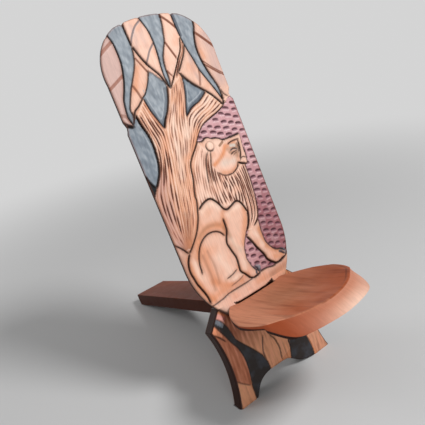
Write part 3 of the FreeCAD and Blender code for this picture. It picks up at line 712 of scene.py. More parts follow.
def strand_samples(families, rng, border, step=0.7):
    """Strokes that run between two guides, and swell and thin along their length."""
    samples, data = [], []
    for left, right, count, waves, half, (thin_dark, wide_dark) in families:
        left, right = smooth(left), smooth(right)
        shares = np.linspace(0, 1, 220)
        a, b = along(left, shares), along(right, shares)
        apart = np.linalg.norm(b - a, axis=1) / count
        for k in range(count + 1):
            wander = 0.16 / count * np.sin(shares * rng.uniform(5, 10) + rng.uniform(0, 6))
            path = a + (b - a) * np.clip(k / count + wander, 0, 1)[:, None]
            length = np.linalg.norm(np.diff(path, axis=0), axis=1).sum()
            piece = along(path, np.linspace(0.01, 0.99, max(4, int(length / step))))
            run = np.linspace(0, 1, len(piece))
            swell = np.sin(2 * pi * waves * rng.uniform(0.8, 1.2) * run + rng.uniform(0, 6))
            swell = np.clip(0.62 + 0.7 * swell, 0, 1)
            tight = 4.0 if k % 2 else 1.5
            room = ramp(np.interp(run, shares, apart), tight, tight + 2.5)
            strong = faded(piece, 10.0) * room * (border if k in (0, count) else 1)
            samples.append(piece)
            data.append(np.stack([half * (0.6 + 0.5 * swell) * (0.4 + 0.6 * strong),
                                  (0.5 + 1.3 * swell) * strong,
                                  (thin_dark + (wide_dark - thin_dark) * swell) * strong], 1))
    return np.vstack(samples), np.vstack(data)


def ground_marks(rng, step=0.7):
    """Short gouges in the ground behind the lion, in columns that are set off by half."""
    samples, data = [], []
    for column in range(GOUGE_COLUMNS):
        up = GROUND_FOOT + GROUND_STEP / 2 * (column % 2)
        while up < GROUND_TOP:
            at = np.array([GROUND_LEFT + column * GROUND_WIDE + rng.uniform(-2.5, 2.5),
                           up + rng.uniform(-2, 2)])
            long = rng.uniform(GOUGE_SHORT, GOUGE_LONG)
            slant = rng.uniform(-0.32, -0.04)
            k = np.linspace(-0.5, 0.5, int(long / step))[:, None]
            path = at + k * long * np.array([[1, slant]]) - np.array([[0, GOUGE_BOW]]) * (k * k) * 4
            samples.append(path)
            wide = np.sqrt(np.clip(1 - (2 * k[:, 0]) ** 2, 0, 1)) * rng.uniform(0.75, 1.1)
            data.append(np.stack([0.9 + 1.9 * wide, 0.4 + 2.0 * wide, 0.4 + 0.6 * wide], 1))
            up += GROUND_STEP
    return np.vstack(samples), np.vstack(data)


def groove(x, y, samples, data):
    """Depth, darkness, distance and nearest sample at each point of a set of carved lines."""
    which, far = nearest(lines_tree(samples), x, y)
    half, deep, dark = data[which].T
    inner = np.clip(1 - (far / half) ** 2, 0, 1)
    edge = np.clip(1 - (far / (half * 1.35)) ** 2, 0, 1)
    return deep * inner, dark * np.sqrt(edge), far, which


def mottle(x, y, size, seed):
    """Soft irregular patches between -1 and 1, about size millimetres across."""
    rng = np.random.default_rng(seed)
    total = np.zeros(len(x))
    for share in (1.0, 0.62, 0.37, 0.21):
        for _ in range(5):
            turn, phase = rng.uniform(0, 2 * pi, 2)
            wave = 2 * pi / (size * share * rng.uniform(0.8, 1.3) * 2)
            bend = 0.8 * np.sin(wave * 0.6 * (y * cos(turn) - x * sin(turn)) + phase * 2)
            total += share * np.sin(wave * (x * cos(turn) + y * sin(turn)) + phase + bend)
    return np.clip(total / 4.2, -1, 1)


def on(fields, *wanted):
    """Whether each point lies in one of the wanted fields."""
    return np.isin(fields, [FIELD_NAMES.index(name) for name in wanted])


def snapped(x, y, samples, data, reach):
    """Points near a deep line move onto it, so that its bottom comes out crisp."""
    margin, lowest, highest, least_deep = 4, 268, 985, 1.9
    which, far = nearest(lines_tree(samples), x, y)
    inner = (np.abs(x) < board_half(y) - margin) & (y > lowest) & (y < highest)
    pull = (far < reach) & (data[which][:, 1] > least_deep) & inner
    x, y = x.copy(), y.copy()
    x[pull], y[pull] = samples[which[pull]].T
    return x, y


def field_paint(x, y):
    """How deep the picture's field lies at each point, its colour and its number."""
    low, colours = np.zeros(len(x)), np.tile(PALE, (len(x), 1))
    fields = np.full(len(x), -1)
    for k, (_, deep, colour, outline) in enumerate(FIELDS):
        hit = inside(outline, x, y)
        low[hit], colours[hit], fields[hit] = deep, colour, k
    return low, colours, fields


def stained(colours, x, y, wood):
    """Soft stains on the bare wood, and pale marks that are partly painted highlight."""
    # No stain reaches further than this from its middle
    widest = 140
    for half, colour, share, points in STAINS:
        path = smooth(points, 1.0)
        close = np.abs(x - path[:, 0].mean()) < widest
        far = np.full(len(x), np.inf)
        far[close] = nearest(lines_tree(path), x[close], y[close])[1]
        colours = blend(colours, colour, share * bell(far, half) * wood)
    return colours


def slate_painted(colours, x, y, fields):
    """Grey paint on the leaves and gaps, with clouds and flecks."""
    slate = on(fields, *SLATES)
    clouds = mottle(x * 1.5, y * 0.7, 18, 21)
    flecks = mottle(x * 2.6, y * 1.2, 15, 23)
    pale = 0.35 + 0.3 * np.clip(clouds, 0, 1) + 0.2 * flecks - 0.25 * on(fields, "strip", "window")
    return layered(colours,
                   (SLATE_PALE, slate * np.clip(pale, 0, 1)),
                   (SLATE_DARK, slate * np.clip(-clouds, 0, 1) * 0.3))


def line_painted(colours, low, x, y):
    """Flat painted lines, which lie half a millimetre deep and have a soft edge."""
    soft = 0.7
    for half, colour, share, points in PAINTED:
        path = smooth(points, 0.6)
        far = nearest(lines_tree(path), x, y)[1]
        mark = ramp(far, half + soft, half - soft)
        colours = blend(colours, colour, share * mark)
        low = low + 0.5 * mark
    return colours, low


def stroked(colours, deep, x, y, fields, far, bloom):
    """Strokes of bark and hair, with a pale ridge between them that is partly painted highlight, and
    dark, warm cuts.
    """
    greyed = ramp(x + (600 - y) * 0.14, -106, -118) * ramp(y, 655, 610)
    ridge_colour = blend(np.tile(PALE_WOOD_AND_HIGHLIGHT, (len(x), 1)), BARK_GREY, 0.85 * greyed)
    ridge_share = 0.55 + 0.4 * np.clip(0.2 - bloom, 0, 1)
    for families, own, border, wide, seed in STROKES:
        lines, about = strand_samples(families, np.random.default_rng(seed), border)
        cut, _, away, at = groove(x, y, lines, about)
        here = on(fields, *own)
        deep = np.where(here, np.maximum(deep, cut), deep)
        # The pale ridge between strokes is partly painted highlight
        ridge = ramp(away, 1.4, 3.2) * ramp(away, 7, 4) * (far > 3)
        half, _, shade = about[at].T
        line = shade * bell(away, half * wide)
        colours = layered(colours,
                          (ridge_colour, here * (ridge * ridge_share)),
                          (GLOW, bell(away, 3.0) * 0.4 * shade * here),
                          (STREAK, np.clip(line * 1.25, 0, 1) * here),
                          (CUT, line * np.clip((shade - 0.7) * 4, 0, 0.9) * here))
    return colours, deep


def gouged(colours, deep, x, y, ground, low_down):
    """Gouges in the ground: a dark upper lip and a duller bed, both painted shade, and a lower rim of
    painted highlight.
    """
    rim_below, bed_below = 6.6, 3.2
    lines, about = ground_marks(np.random.default_rng(7))
    cut, shade, away, at = groove(x, y, lines, about)
    lit = groove(x, y + rim_below, lines, about)[1]
    bed_shade = groove(x, y + bed_below, lines, about)[1]
    lip = np.exp(-(away / (about[at][:, 0] * 1.15)) ** 4) * np.clip(shade * 1.6 + 0.2, 0, 1)
    colours = layered(colours,
                      (MAUVE_PALE, np.clip(lit * 1.2, 0, 0.8) * ground * (1 - 0.6 * low_down)),
                      (MAUVE_SHADE, np.clip(bed_shade * 1.2, 0, 0.75) * ground),
                      (GOUGE_SHADE, np.clip(lip, 0, 0.96) * ground))
    return colours, np.where(ground, np.maximum(deep, cut), deep)


def ear_cut(colours, deep, low, x, y):
    """The round ear: a cut ring, wider at its lower left and darker there as painted shade, about a
    pale disc that is painted highlight.
    """
    dx, dy = x - EAR_AT[0], y - EAR_AT[1]
    away = np.hypot(dx, dy)
    low_side = np.clip(0.6 - 0.6 * (dx + dy) / (EAR_HALF * 1.41), 0.35, 1)
    ring = bell(away - EAR_HALF - low_side, 1.0 + 1.6 * low_side)
    deep = np.where(away < EAR_HALF + 4, np.maximum(deep * (away > EAR_HALF), ring * 2.0), deep)
    disc = ramp(away, EAR_HALF - 2, EAR_HALF - 4)
    colours = layered(colours, (INK, ring * low_side), (PALE_WOOD_AND_HIGHLIGHT, disc * 0.6))
    return colours, deep, low - disc * 0.4


def picture(x, y, reach):
    """The carved picture at points of the board: moved x and y, height and colour."""
    samples, data = carved_samples(CARVED + FACE_LINES)
    x, y = snapped(x, y, samples, data, reach)
    low, colours, fields = field_paint(x, y)
    wood = ~on(fields, "ground", "hollow", *SLATES)
    ground = on(fields, "ground")
    colours = stained(colours, x, y, wood)
    colours = slate_painted(colours, x, y, fields)
    bloom = mottle(x, y, 34, 22)
    bloomed = np.clip(bloom, 0, 1)
    low_down = ramp(y, 600, 430)
    reddened = low_down * np.clip((x - 30) / 60, 0.2, 1) * (0.8 + 0.2 * bloom)
    colours = layered(colours,
                      (ORANGE, wood * ~on(fields, "left lobe", "right lobe") * bloomed * 0.28),
                      (MAUVE_LOW, ground * reddened),
                      (MAUVE_PALE, ground * bloomed * 0.4))
    colours, low = line_painted(colours, low, x, y)

    deep, dark, far, which = groove(x, y, samples, data)
    strength = np.clip(data[which][:, 1] / DEEP[1], 0, 1)
    round_over = np.exp(-far / 3.2) * 1.1 * strength * wood
    sag = (1 - np.exp(-far / 13)) * 0.9 * on(fields, "body", "mane", "head", "far leg")
    # Beside the carved lines: brown on bare wood, partly stain and partly painted shade of the
    # grooves, and ink on the other fields as painted shadow
    colours = layered(colours,
                      (BROWN, bell(far, 6.0) * 0.6 * strength * wood),
                      (INK, bell(far, 4.0) * 0.28 * ~wood))
    colours, deep = stroked(colours, deep, x, y, fields, far, bloom)
    colours, deep = gouged(colours, deep, x, y, ground & (far > 2.5), low_down)
    colours, deep, low = ear_cut(colours, deep, low, x, y)
    return x, y, -(low + deep + round_over + sag), blend(colours, INK, dark)


def edge_round(x, y, outline, radius):
    """How far the face drops beside the outline, and how near it is."""
    near = nearest(lines_tree(outline), x, y)[1]
    r = ramp(near, radius, 0)
    return radius * (1 - np.sqrt(1 - r * r)), near


def crown_sides(columns, upper):
    """The board's right and left edges above the straight flank, and the crown between them."""
    side = arc(SHOULDER, TURN, CROWN, 120)
    top = arc(CROWN, TOP, (-CROWN[0], CROWN[1]), 160)
    cut = np.argmin(np.hypot(side[:, 0] - TURN[0], side[:, 1] - TURN[1]))
    right = np.vstack([[(SHOULDER[0], STRAIGHT_UP)], side[:cut + 1]])
    head = np.vstack([side[cut:], top[1:], (side * [-1, 1])[::-1][1:len(side) - cut]])
    right = along(right, np.linspace(0, 1, upper + 1))
    over = along(head[::-1], np.linspace(0, 1, columns + 1))
    for at, wide, deep in CROWN_NICKS:
        over[:, 1] -= deep * bell(over[:, 0] - at, wide)
    return right, right * [-1, 1], over


def back_places(share, straight, upper):
    """The carved face's grid, with the notches in its sides."""
    columns = len(share) - 1
    ups = np.linspace(SEAM_UP, STRAIGHT_UP, straight + 1)
    half = np.where(share[None] < 0, notched_half(ups, NOTCH_LEFT)[:, None],
                    notched_half(ups, NOTCH_RIGHT)[:, None])
    plain = board_half(ups)[:, None]
    reach = np.abs(share[None])
    lower = np.stack([share[None] * (plain + (half - plain) * reach ** 6),
                      np.tile(ups[:, None], (1, columns + 1))], -1)
    right, left, over = crown_sides(columns, upper)
    return np.concatenate([lower, fill_sides(lower[-1], over, left, right)[1:]])


def make_carved_back():
    columns, straight, upper = ((200, 326, 122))
    rows = straight + upper
    places = back_places(np.linspace(-1, 1, columns + 1), straight, upper)
    piece, i, j, spot = new_grid("carved_back", columns, rows, places)
    x, up = spot.T
    fixed = (i == 0) | (i == columns) | (j == 0) | (j == rows)
    x2, up2, out, colours = picture(x, up, FLANK[0] / columns)
    x2[fixed], up2[fixed] = x[fixed], up[fixed]
    seam = ramp(up2, SEAM_UP, SEAM_UP + 5)
    rim = np.vstack([places[:, 0], places[-1], places[::-1, -1]])
    drop, near = edge_round(x2, up2, rim, FACE_EDGE)
    out = np.where(fixed, np.minimum(out, -FACE_EDGE), out - drop) * seam
    colours = blend(colours, BROWN, 0.55 * bell(near, 3.0))
    put_points(piece, to_scene(x2, up2, out))
    put_colours(piece, colours)

    def to_depth(depth, inset):
        def move(points, ring):
            x, up, _ = to_board(points)
            crown = ramp(up, SHOULDER[1], TOP[1])
            x = x * (1 - inset * (1 - 0.55 * crown) / board_half(up))
            return to_scene(x, up - inset * crown, np.full(len(x), -float(depth)))
        return move

    for depth, inset, colour in SIDE_RINGS:
        grow_ring(piece, to_depth(depth, inset), colour)
    close_up(piece)
    return piece


def leg_places(columns, rows):
    """The legs' grid: columns for the slot, the rest of the arch and the feet's outer sides."""
    n_slot, n_arch, n_foot = columns
    n_low, n_hole, n_top = rows
    slot_share = 0.4
    side_share = 1 - slot_share
    corner = slot_share + side_share * (ARCH_HALF - SLOT_HALF) / (FOOT[0] - SLOT_HALF)
    share = np.concatenate([np.linspace(0, slot_share, n_slot + 1)[:-1],
                            np.linspace(slot_share, corner, n_arch + 1)[:-1],
                            np.linspace(corner, 1, n_foot + 1)])
    share = np.concatenate([-share[:0:-1], share])
    reach = np.abs(share)

    def across(up):
        outer = SLOT_HALF + (leg_half(up) - SLOT_HALF) * (reach - slot_share) / side_share
        return np.where(reach <= slot_share, SLOT_HALF * reach / slot_share, outer) * np.sign(share)

    arch = smooth(ARCH)
    foot = np.zeros(len(share))
    for _ in range(30):
        foot = np.interp(across(foot), arch[:, 0], arch[:, 1], left=0, right=0)
    lines = [foot + (SLOT_LOW - foot) * k / n_low for k in range(n_low)]
    lines += [np.full(len(share), up) for up in np.linspace(SLOT_LOW, SLOT_UP, n_hole + 1)[:-1]]
    lines += [np.full(len(share), up) for up in np.linspace(SLOT_UP, SEAM_UP, n_top + 1)]
    return np.array([np.stack([across(up), up], 1) for up in lines])


def leg_paint(x, y):
    """The legs' relief and colour: plain wood above the step, painted bands below it, with painted
    shadow along the step and under the seat.
    """
    no_step = 300
    step = np.interp(x, STEP_LINE[:, 0], STEP_LINE[:, 1], left=no_step, right=no_step)
    above = y > step
    colours = np.where(above[:, None], PALE, LEG)
    colours = blend(colours, ORANGE, above * ramp(x, -20, 110) * 0.7)
    for colour, share, outline in LEG_PATCHES:
        colours = blend(colours, colour, share * (inside(outline, x, y) & ~above))
    for outline in SLOT_ENDS:
        colours = blend(colours, INK, 0.95 * inside(outline, x, y))
    grain, gloss_and_light = mottle(x * 3.0, y * 0.5, 26, 41), mottle(x, y, 30, 42)
    not_black = colours[:, 0] > BLACK[0] * 4
    bare = ~above & not_black
    # Painted shadow of the seat on the upper legs
    seat_shadow = ramp(y, 110, 185) * ramp(x, 20, -30) * (x > -118)
    deep, dark = groove(x, y, *carved_samples(LEG_LINES))[:2]
    # The step's painted shadow: an ink line along it and brown painted shade beside it
    _, shade, near, _ = groove(x, y, *carved_samples([(DEEP, STEP_LINE[::3])]))
    colours = layered(colours,
                      (STREAK, bare * 0.45 * np.clip(grain - 0.1, 0, 1)),
                      (STREAK, bare * 0.8 * seat_shadow),
                      (LEG_PINK, bare * 0.45 * np.clip(-grain, 0, 1)),
                      # Blue-grey patches of painted highlight on the black paint
                      (SLATE_DARK, ~above * ~bare * 0.3 * np.clip(gloss_and_light + 0.2, 0, 1)),
                      (BROWN, 0.6 * bell(near, 7)),
                      (INK, np.maximum(dark * ~above * 0.85, shade * 0.8)))
    sink = ramp(y - step, 1.5, -1.5) * LEG_RECESS
    return -(sink + deep * ~above), colours


def make_back_legs():
    columns, rows = (((33, 22, 29), (105, 20, 6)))
    edge, bevel_wide, bevel_deep = 2.2, 5.5, 3.4
    places = leg_places(columns, rows)
    nj, ni = places.shape[0] - 1, places.shape[1] - 1
    piece, i, j, spot = new_grid("back_legs", ni, nj, places)
    x, up = spot.T
    out, colours = leg_paint(x, up)
    lo, hi = rows[0], rows[0] + rows[1]
    first, last = ni // 2 - columns[0], ni // 2 + columns[0]
    hole = np.concatenate([places[lo, first:last + 1], places[lo:hi + 1, last],
                           places[hi, first:last + 1], places[lo:hi + 1, first]])
    rim = np.concatenate([places[:, 0], places[:, -1], places[0],
                          along(hole, np.linspace(0, 1, 400))])
    drop, near = edge_round(x, up, rim, edge)
    wide = leg_half(up)
    outer = np.minimum(np.abs(x + wide), np.abs(x - wide)) * (up < SEAM_UP)
    bevel = ramp(outer, bevel_wide, 0) * ramp(up, SEAM_UP, SEAM_UP - 6)
    out = out - bevel_deep * bevel
    on_edge = ((i == 0) | (i == ni) | (j == 0)
               | ((j >= lo) & (j <= hi) & (i >= first) & (i <= last)))
    out = np.where(on_edge, out - edge, out - drop)
    out = np.where(j == nj, 0, out)
    # Painted shade on the bevelled outer sides and just inside the edges
    colours = layered(colours, (SIDE_SHADE, np.clip(bevel * 3, 0, 1)), (SIDE_SHADE, 0.5 * bell(near, 3.0)))
    put_points(piece, to_scene(x, off_floor(up, out), out))
    put_colours(piece, colours)
    cx, cup, _ = to_board(read(piece.data.polygons, "center"))
    drop_faces(piece, (np.abs(cx) < SLOT_HALF) & (cup > SLOT_LOW) & (cup < SLOT_UP))

    def to_depth(depth):
        def move(points, ring):
            x, up, out = to_board(points)
            out = np.minimum(out, -float(depth))
            return to_scene(x, off_floor(up, out), out)
        return move

    for depth, colour in LEG_RINGS:
        grow_ring(piece, to_depth(depth), colour)
    close_up(piece)
    return piece


# The seat board's outlines, as x and out
SEAT_SIDE = np.vstack([arc((STOP_HALF, 0), (134, 60), (163, 135), 60),
                       arc((163, 135), (159, 172), (NOSE_HALF, NOSE_CORNER_OUT), 40)[1:]])
CREST = np.vstack([arc((147, 206), (131, 217), (112, 228), 30),
                   arc((112, 228), (0, 256), (-112, 228), 120)[1:],
                   arc((-112, 228), (-131, 217), (-147, 206), 30)[1:]])
NOSE_EDGE = smooth([(147, 206), (142, 230), (133, 254), (119, 275), (98, 289), (60, 302),
                    (0, 311), (-60, 302), (-98, 289), (-119, 275), (-133, 254), (-142, 230),
                    (-147, 206)], 1.0)


def rim_height(out):
    return RIM_HIGH - RIM_FALL * out / NOSE_TIP_OUT


def dished(x, out):
    """Height of the seat's hollowed top."""
    ball = np.clip((x / HOLLOW_HALF) ** 2 + ((out - HOLLOW_OUT) / HOLLOW_LONG) ** 2, 0, 1)
    hollow = rim_height(out) - HOLLOW_DEEP + HOLLOW_ROUND * (1 - np.sqrt(1 - ball))
    return np.minimum(hollow, rim_height(out))


def underside(x):
    return np.clip(BELLY + SIDE_RISE * (np.abs(x) - FLAT_HALF), BELLY, SIDE_THIN)


def nose_low(x):
    """Height of the lower edge of the nose's slope."""
    return BELLY + NOSE_RISE * ramp(np.abs(x), FLAT_HALF, NOSE_HALF) ** 3


def tail_half(out):
    return TAIL_HALF + (TAIL_END_HALF - TAIL_HALF) * out / TAIL_END_OUT


def seat_places(half, tail_rows, seat_rows):
    """The seat board's grid from the tail's end to the crest, and the nose's lower edge."""
    share = np.linspace(-1, 1, half * 2 + 1)
    reach = np.abs(share)
    shoulder = TAIL_HALF + (STOP_HALF - TAIL_HALF) * (reach - 0.5) * 2
    stop = np.where(reach <= 0.5, 2 * TAIL_HALF * reach, shoulder) * np.sign(share)
    crest = along(CREST[::-1], (share + 1) / 2)
    nose = along(NOSE_EDGE[::-1], (share + 1) / 2)
    k = np.full(len(share), 0.2)
    for _ in range(40):
        spot = crest + (nose - crest) * k[:, None]
        k = (RIM_HIGH - dished(spot[:, 0], spot[:, 1])) / (RIM_HIGH - BELLY)
    crest = crest + (nose - crest) * k[:, None]
    right = along(SEAT_SIDE, np.linspace(0, 1, seat_rows + 1))
    seat = fill_sides(np.stack([stop, np.zeros(len(share))], 1), crest, right * [-1, 1], right)
    tail = [np.stack([share * 2 * tail_half(out), np.full(len(share), out)], 1)
            for out in np.linspace(TAIL_END_OUT, 0, tail_rows + 1)[:-1]]
    return np.concatenate([np.array(tail), seat]), nose


def seat_paint(x, out, near, gap, on_tail):
    """The seat board's colours: red-brown wood with streaks, a darker tail, and painted shadow inside
    the rim and in the gap at the slot.
    """
    streaks = mottle(x * 3.2, out * 0.4, 52, 31)
    warm = np.clip(mottle(x * 1.6, out * 0.5, 80, 32), 0, 1)
    fine = np.clip(mottle(x * 7, out * 0.5, 46, 33), 0, 1)
    tail = layered(np.tile(TAIL, (len(x), 1)),
                   (STREAK, 0.35 * np.clip(streaks, 0, 1)),
                   (SEAT_RED, 0.3 * warm))
    # A painted shadow line inside the rim near the right front, where the hollow's wall is in shade
    rim_shadow_line = bell(near - 9, 2.0) * ramp(x, 60, 110) * ramp(out, 120, 180)
    colours = layered(np.tile(SEAT, (len(x), 1)),
                      (SEAT_PALE, 0.8 * ramp(x, -20, -110)),
                      (SEAT_RED, 0.7 * ramp(x, 20, 110)),
                      (SEAT_RED, 0.75 * ramp(out, 120, 210) * (x > -90)),
                      (SEAT_PALE, 0.35 * ramp(out, 90, 30)),
                      (SEAT_PALE, 0.5 * bell(near, 6) * (x < 0)),
                      (INK, 0.55 * rim_shadow_line),
                      (STREAK, 0.6 * np.clip(streaks - 0.1, 0, 1)
                       * np.maximum(ramp(out, 60, 180), 0.4)),
                      (SEAT_PALE, 0.35 * warm),
                      (STREAK, 0.22 * fine))
    colours = np.where(on_tail[:, None], tail, colours)
    # Painted shadow in the gap at the slot
    return blend(colours, INK, 0.92 * np.minimum(gap * 1.6, 1))


def edge_paint(share):
    """Colours of the seat board's edge at a share of the way down it, with painted light and shade.
    """
    def shade(board):
        x, _, out = board
        # The nose: darker to the left with painted shade, and a painted highlight right of its middle
        # that grows down its lower part
        lip = layered(np.tile(NOSE_LEFT, (len(x), 1)),
                      (NOSE, ramp(x, -120, 0)),
                      (NOSE_HIGHLIGHT, bell(x - 45, 80) * ramp(share, 0.233, 0.9)))
        # The sides are painted dark as shade
        side = np.where((out < -1)[:, None], TAIL_SIDE_SHADE, SEAT_SIDE_SHADE)
        # Painted light on the side's upper part, more of it towards the nose's corners
        gloss_and_light = 0.95 * ramp(out, 40, NOSE_CORNER_OUT) ** 1.5 - share
        return layered(side,
                       (NOSE_LEFT, ramp(gloss_and_light, 0, 1 / 6)),
                       (lip, ramp(out, NOSE_CORNER_OUT - 1, NOSE_CORNER_OUT + 3)))
    return shade


def make_seat():
    half, tail_rows, seat_rows = ((48, 300, 110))
    columns, rows = half * 2, tail_rows + seat_rows
    # The neck is where the hollow starts at the tail's height. The gap at the slot is sunk and
    # painted dark as its shadow.
    neck_half, neck_long, gap_out, gap_half, gap_deep, edge = 75, 9, -3, 8, 3.5, 2.0
    places, nose = seat_places(half, tail_rows, seat_rows)
    piece, i, j, spot = new_grid("seat_plank", columns, rows, places)
    x, out = spot.T
    on_tail, on_seat = j <= tail_rows, j >= tail_rows
    height = np.where(on_tail, TAIL_TOP, dished(x, out))
    rise = (dished(x, out) - TAIL_TOP) * ramp(out, 0, neck_long)
    height = np.where((np.abs(x) < neck_half) & on_seat, TAIL_TOP + rise, height)
    gap = ramp(np.abs(out - gap_out), gap_half, 0) * (np.abs(x) < SLOT_HALF + 1)
    rim = np.concatenate([places[tail_rows:, 0], places[tail_rows:, -1], places[-1]])
    drop, near = edge_round(x, out, rim, edge)
    height = height - gap_deep * np.minimum(gap * 2, 1) - drop
    start = np.stack([x, out, height], 1)
    goal = np.stack([x, out, np.where(out > 0, underside(x), BELLY)], 1)
    front = j == rows
    tip = nose[i[front]]
    goal[front] = np.stack([tip[:, 0], tip[:, 1], nose_low(tip[:, 0])], 1)
    put_points(piece, to_scene(x, SLOT_UP + height, out))
    put_colours(piece, seat_paint(x, out, near, gap, j < tail_rows))
    for name, values in (("start", start), ("goal", goal)):
        layer = piece.data.attributes.new(name, "FLOAT_VECTOR", "POINT")
        layer.data.foreach_set("vector", values.ravel())
    cx, _, cout = to_board(read(piece.data.polygons, "center"))
    drop_faces(piece, (cout < 0) & (np.abs(cx) > tail_half(cout)))

    def stored(name, ring):
        return read(piece.data.attributes[name].data, "vector")[ring]

    def on_floor(x, up, out):
        return to_scene(x, off_floor(up, out), out)

    def part_down(share):
        """Down the edge, which bulges a little where it slopes outwards."""
        def move(points, ring):
            a, b = stored("start", ring), stored("goal", ring)
            spot = a + (b - a) * share
            sloping = ramp(np.hypot(*(b - a)[:, :2].T), 0, 50)
            bulge = 2.1 * sloping * np.sin(pi * share)
            return on_floor(spot[:, 0], SLOT_UP + spot[:, 2] + bulge, spot[:, 1] + bulge)
        return move

    def below(down, inward):
        """The small round from the edge to the underside."""
        def move(points, ring):
            x, out, height = stored("goal", ring).T
            at_nose, at_tail, at_side = out > NOSE_CORNER_OUT, out < 0, np.abs(x) > 60
            wide = ramp(np.abs(x), FLAT_HALF, FLAT_HALF + 20)
            low = np.where(at_nose, np.maximum(height - down * wide, BELLY - 0.2 * down),
                           height - 0.15 * down)
            low = np.where(at_tail, np.maximum(low, BELLY), low)
            x = x - inward * np.sign(x) * at_side
            return on_floor(x, SLOT_UP + low, out - inward * at_nose)
        return move

    def to_underside(points, ring):
        """The flat underside's outline."""
        x, out, _ = stored("goal", ring).T
        from_side, from_nose, from_end = 3, 12, 2
        at_side, at_nose, at_end = np.abs(x) > 70, out > 200, out < -600
        at_stop = (np.abs(out) < 0.01) & at_side
        inner = np.minimum(np.abs(x) - from_side, FLAT_HALF)
        x = np.where(at_side, np.sign(x) * inner, x * 0.96)
        out = np.where(at_stop, from_side, out - from_nose * at_nose + from_end * at_end)
        return on_floor(x, np.full(len(x), SLOT_UP + BELLY), out)

    for share in SEAT_RINGS:
        grow_ring(piece, part_down(share), edge_paint(share))
    # The round below the seat's edge and its underside are painted dark as shade
    for down, inward in ((1.2, 0.3), (8.0, 1.2)):
        grow_ring(piece, below(down, inward), SEAT_SIDE_SHADE)
    grow_ring(piece, to_underside, SIDE_SHADE)
    close_up(piece)
    for name in ("start", "goal"):
        piece.data.attributes.remove(piece.data.attributes[name])
    return piece


# Materials, floor and light

BACKDROP = (0.66, 0.66, 0.66, 1)
WORLD_LIGHT = 0.24


def node_of(tree, kind, inputs=None, **settings):
    """A new node with its settings and the values of its inputs."""
    node = tree.nodes.new(kind)
    for name, value in settings.items():
        setattr(node, name, value)
    fill_in(node, inputs or {})
    return node


def fill_in(node, inputs):
    for name, value in inputs.items():
        node.inputs[name].default_value = value


def new_material(name):
    material = bpy.data.materials.new(name)
    material.use_nodes = True
    tree = material.node_tree
    return material, tree, tree.nodes["Principled BSDF"]


def wood(name, grain_axis, grain_share, bump, shine):
    """Varnished wood: the painted colours with grain that runs along the board."""
    rough = 0.46
    material, tree, shader = new_material(name)
    paint = node_of(tree, "ShaderNodeAttribute", attribute_name="paint")
    place = node_of(tree, "ShaderNodeTexCoord")
    turn = node_of(tree, "ShaderNodeMapping", {"Rotation": (LEAN, 0, 0)})
    stretch = node_of(tree, "ShaderNodeMapping", {"Scale": grain_axis})
    grain = node_of(tree, "ShaderNodeTexNoise", {"Scale": 1.0, "Detail": 5.0, "Roughness": 0.62})
    shade = node_of(tree, "ShaderNodeMapRange", {
        "From Min": 0.3, "From Max": 0.7, "To Min": 1 - grain_share, "To Max": 1 + grain_share * 0.6})
    tint = node_of(tree, "ShaderNodeMix", {"Factor": 1.0}, data_type="RGBA", blend_type="MULTIPLY")
    # The gloss is uneven, as on a varnish with wear
    gloss_and_light = node_of(tree, "ShaderNodeTexNoise", {"Scale": 38.0, "Detail": 3.0})
    gloss = node_of(tree, "ShaderNodeMapRange", {"To Min": rough - 0.09, "To Max": rough + 0.12})
    raised = node_of(tree, "ShaderNodeBump", {"Strength": bump, "Distance": 0.0006})
    link = tree.links.new
    link(place.outputs["Object"], turn.inputs["Vector"])
    link(turn.outputs["Vector"], stretch.inputs["Vector"])
    link(stretch.outputs["Vector"], grain.inputs["Vector"])
    link(grain.outputs["Fac"], shade.inputs["Value"])
    link(paint.outputs["Color"], tint.inputs["A"])
    link(shade.outputs["Result"], tint.inputs["B"])
    link(tint.outputs["Result"], shader.inputs["Base Color"])
    link(place.outputs["Object"], gloss_and_light.inputs["Vector"])
    link(gloss_and_light.outputs["Fac"], gloss.inputs["Value"])
    link(gloss.outputs["Result"], shader.inputs["Roughness"])
    link(grain.outputs["Fac"], raised.inputs["Height"])
    link(raised.outputs["Normal"], shader.inputs["Normal"])
    fill_in(shader, {"Specular IOR Level": 0.12 + shine, "Coat Weight": shine,
                     "Coat Roughness": 0.18})
    return material


def make_floor():
    """A wide pale floor that keeps the chair's shadow and fades into the backdrop."""
    bpy.ops.object.select_all(action="DESELECT")
    bpy.ops.mesh.primitive_circle_add(vertices=96, radius=14, fill_type="NGON")
    floor = bpy.context.object
    floor.name = "studio_floor"
    material, tree, shader = new_material("studio_floor")
    fill_in(shader, {"Base Color": BACKDROP, "Roughness": 0.9, "Specular IOR Level": 0.0})
    glow = node_of(tree, "ShaderNodeEmission", {"Color": BACKDROP})
    place = node_of(tree, "ShaderNodeTexCoord")
    far = node_of(tree, "ShaderNodeVectorMath", operation="LENGTH")
    fade = node_of(tree, "ShaderNodeMapRange", {"From Min": 0.9, "From Max": 2.6},
                   interpolation_type="SMOOTHSTEP")
    mixed = node_of(tree, "ShaderNodeMixShader")
    link = tree.links.new
    link(place.outputs["Object"], far.inputs[0])
    link(far.outputs["Value"], fade.inputs["Value"])
    link(fade.outputs["Result"], mixed.inputs["Fac"])
    link(shader.outputs["BSDF"], mixed.inputs[1])
    link(glow.outputs["Emission"], mixed.inputs[2])
    link(mixed.outputs["Shader"], tree.nodes["Material Output"].inputs["Surface"])
    floor.data.materials.append(material)


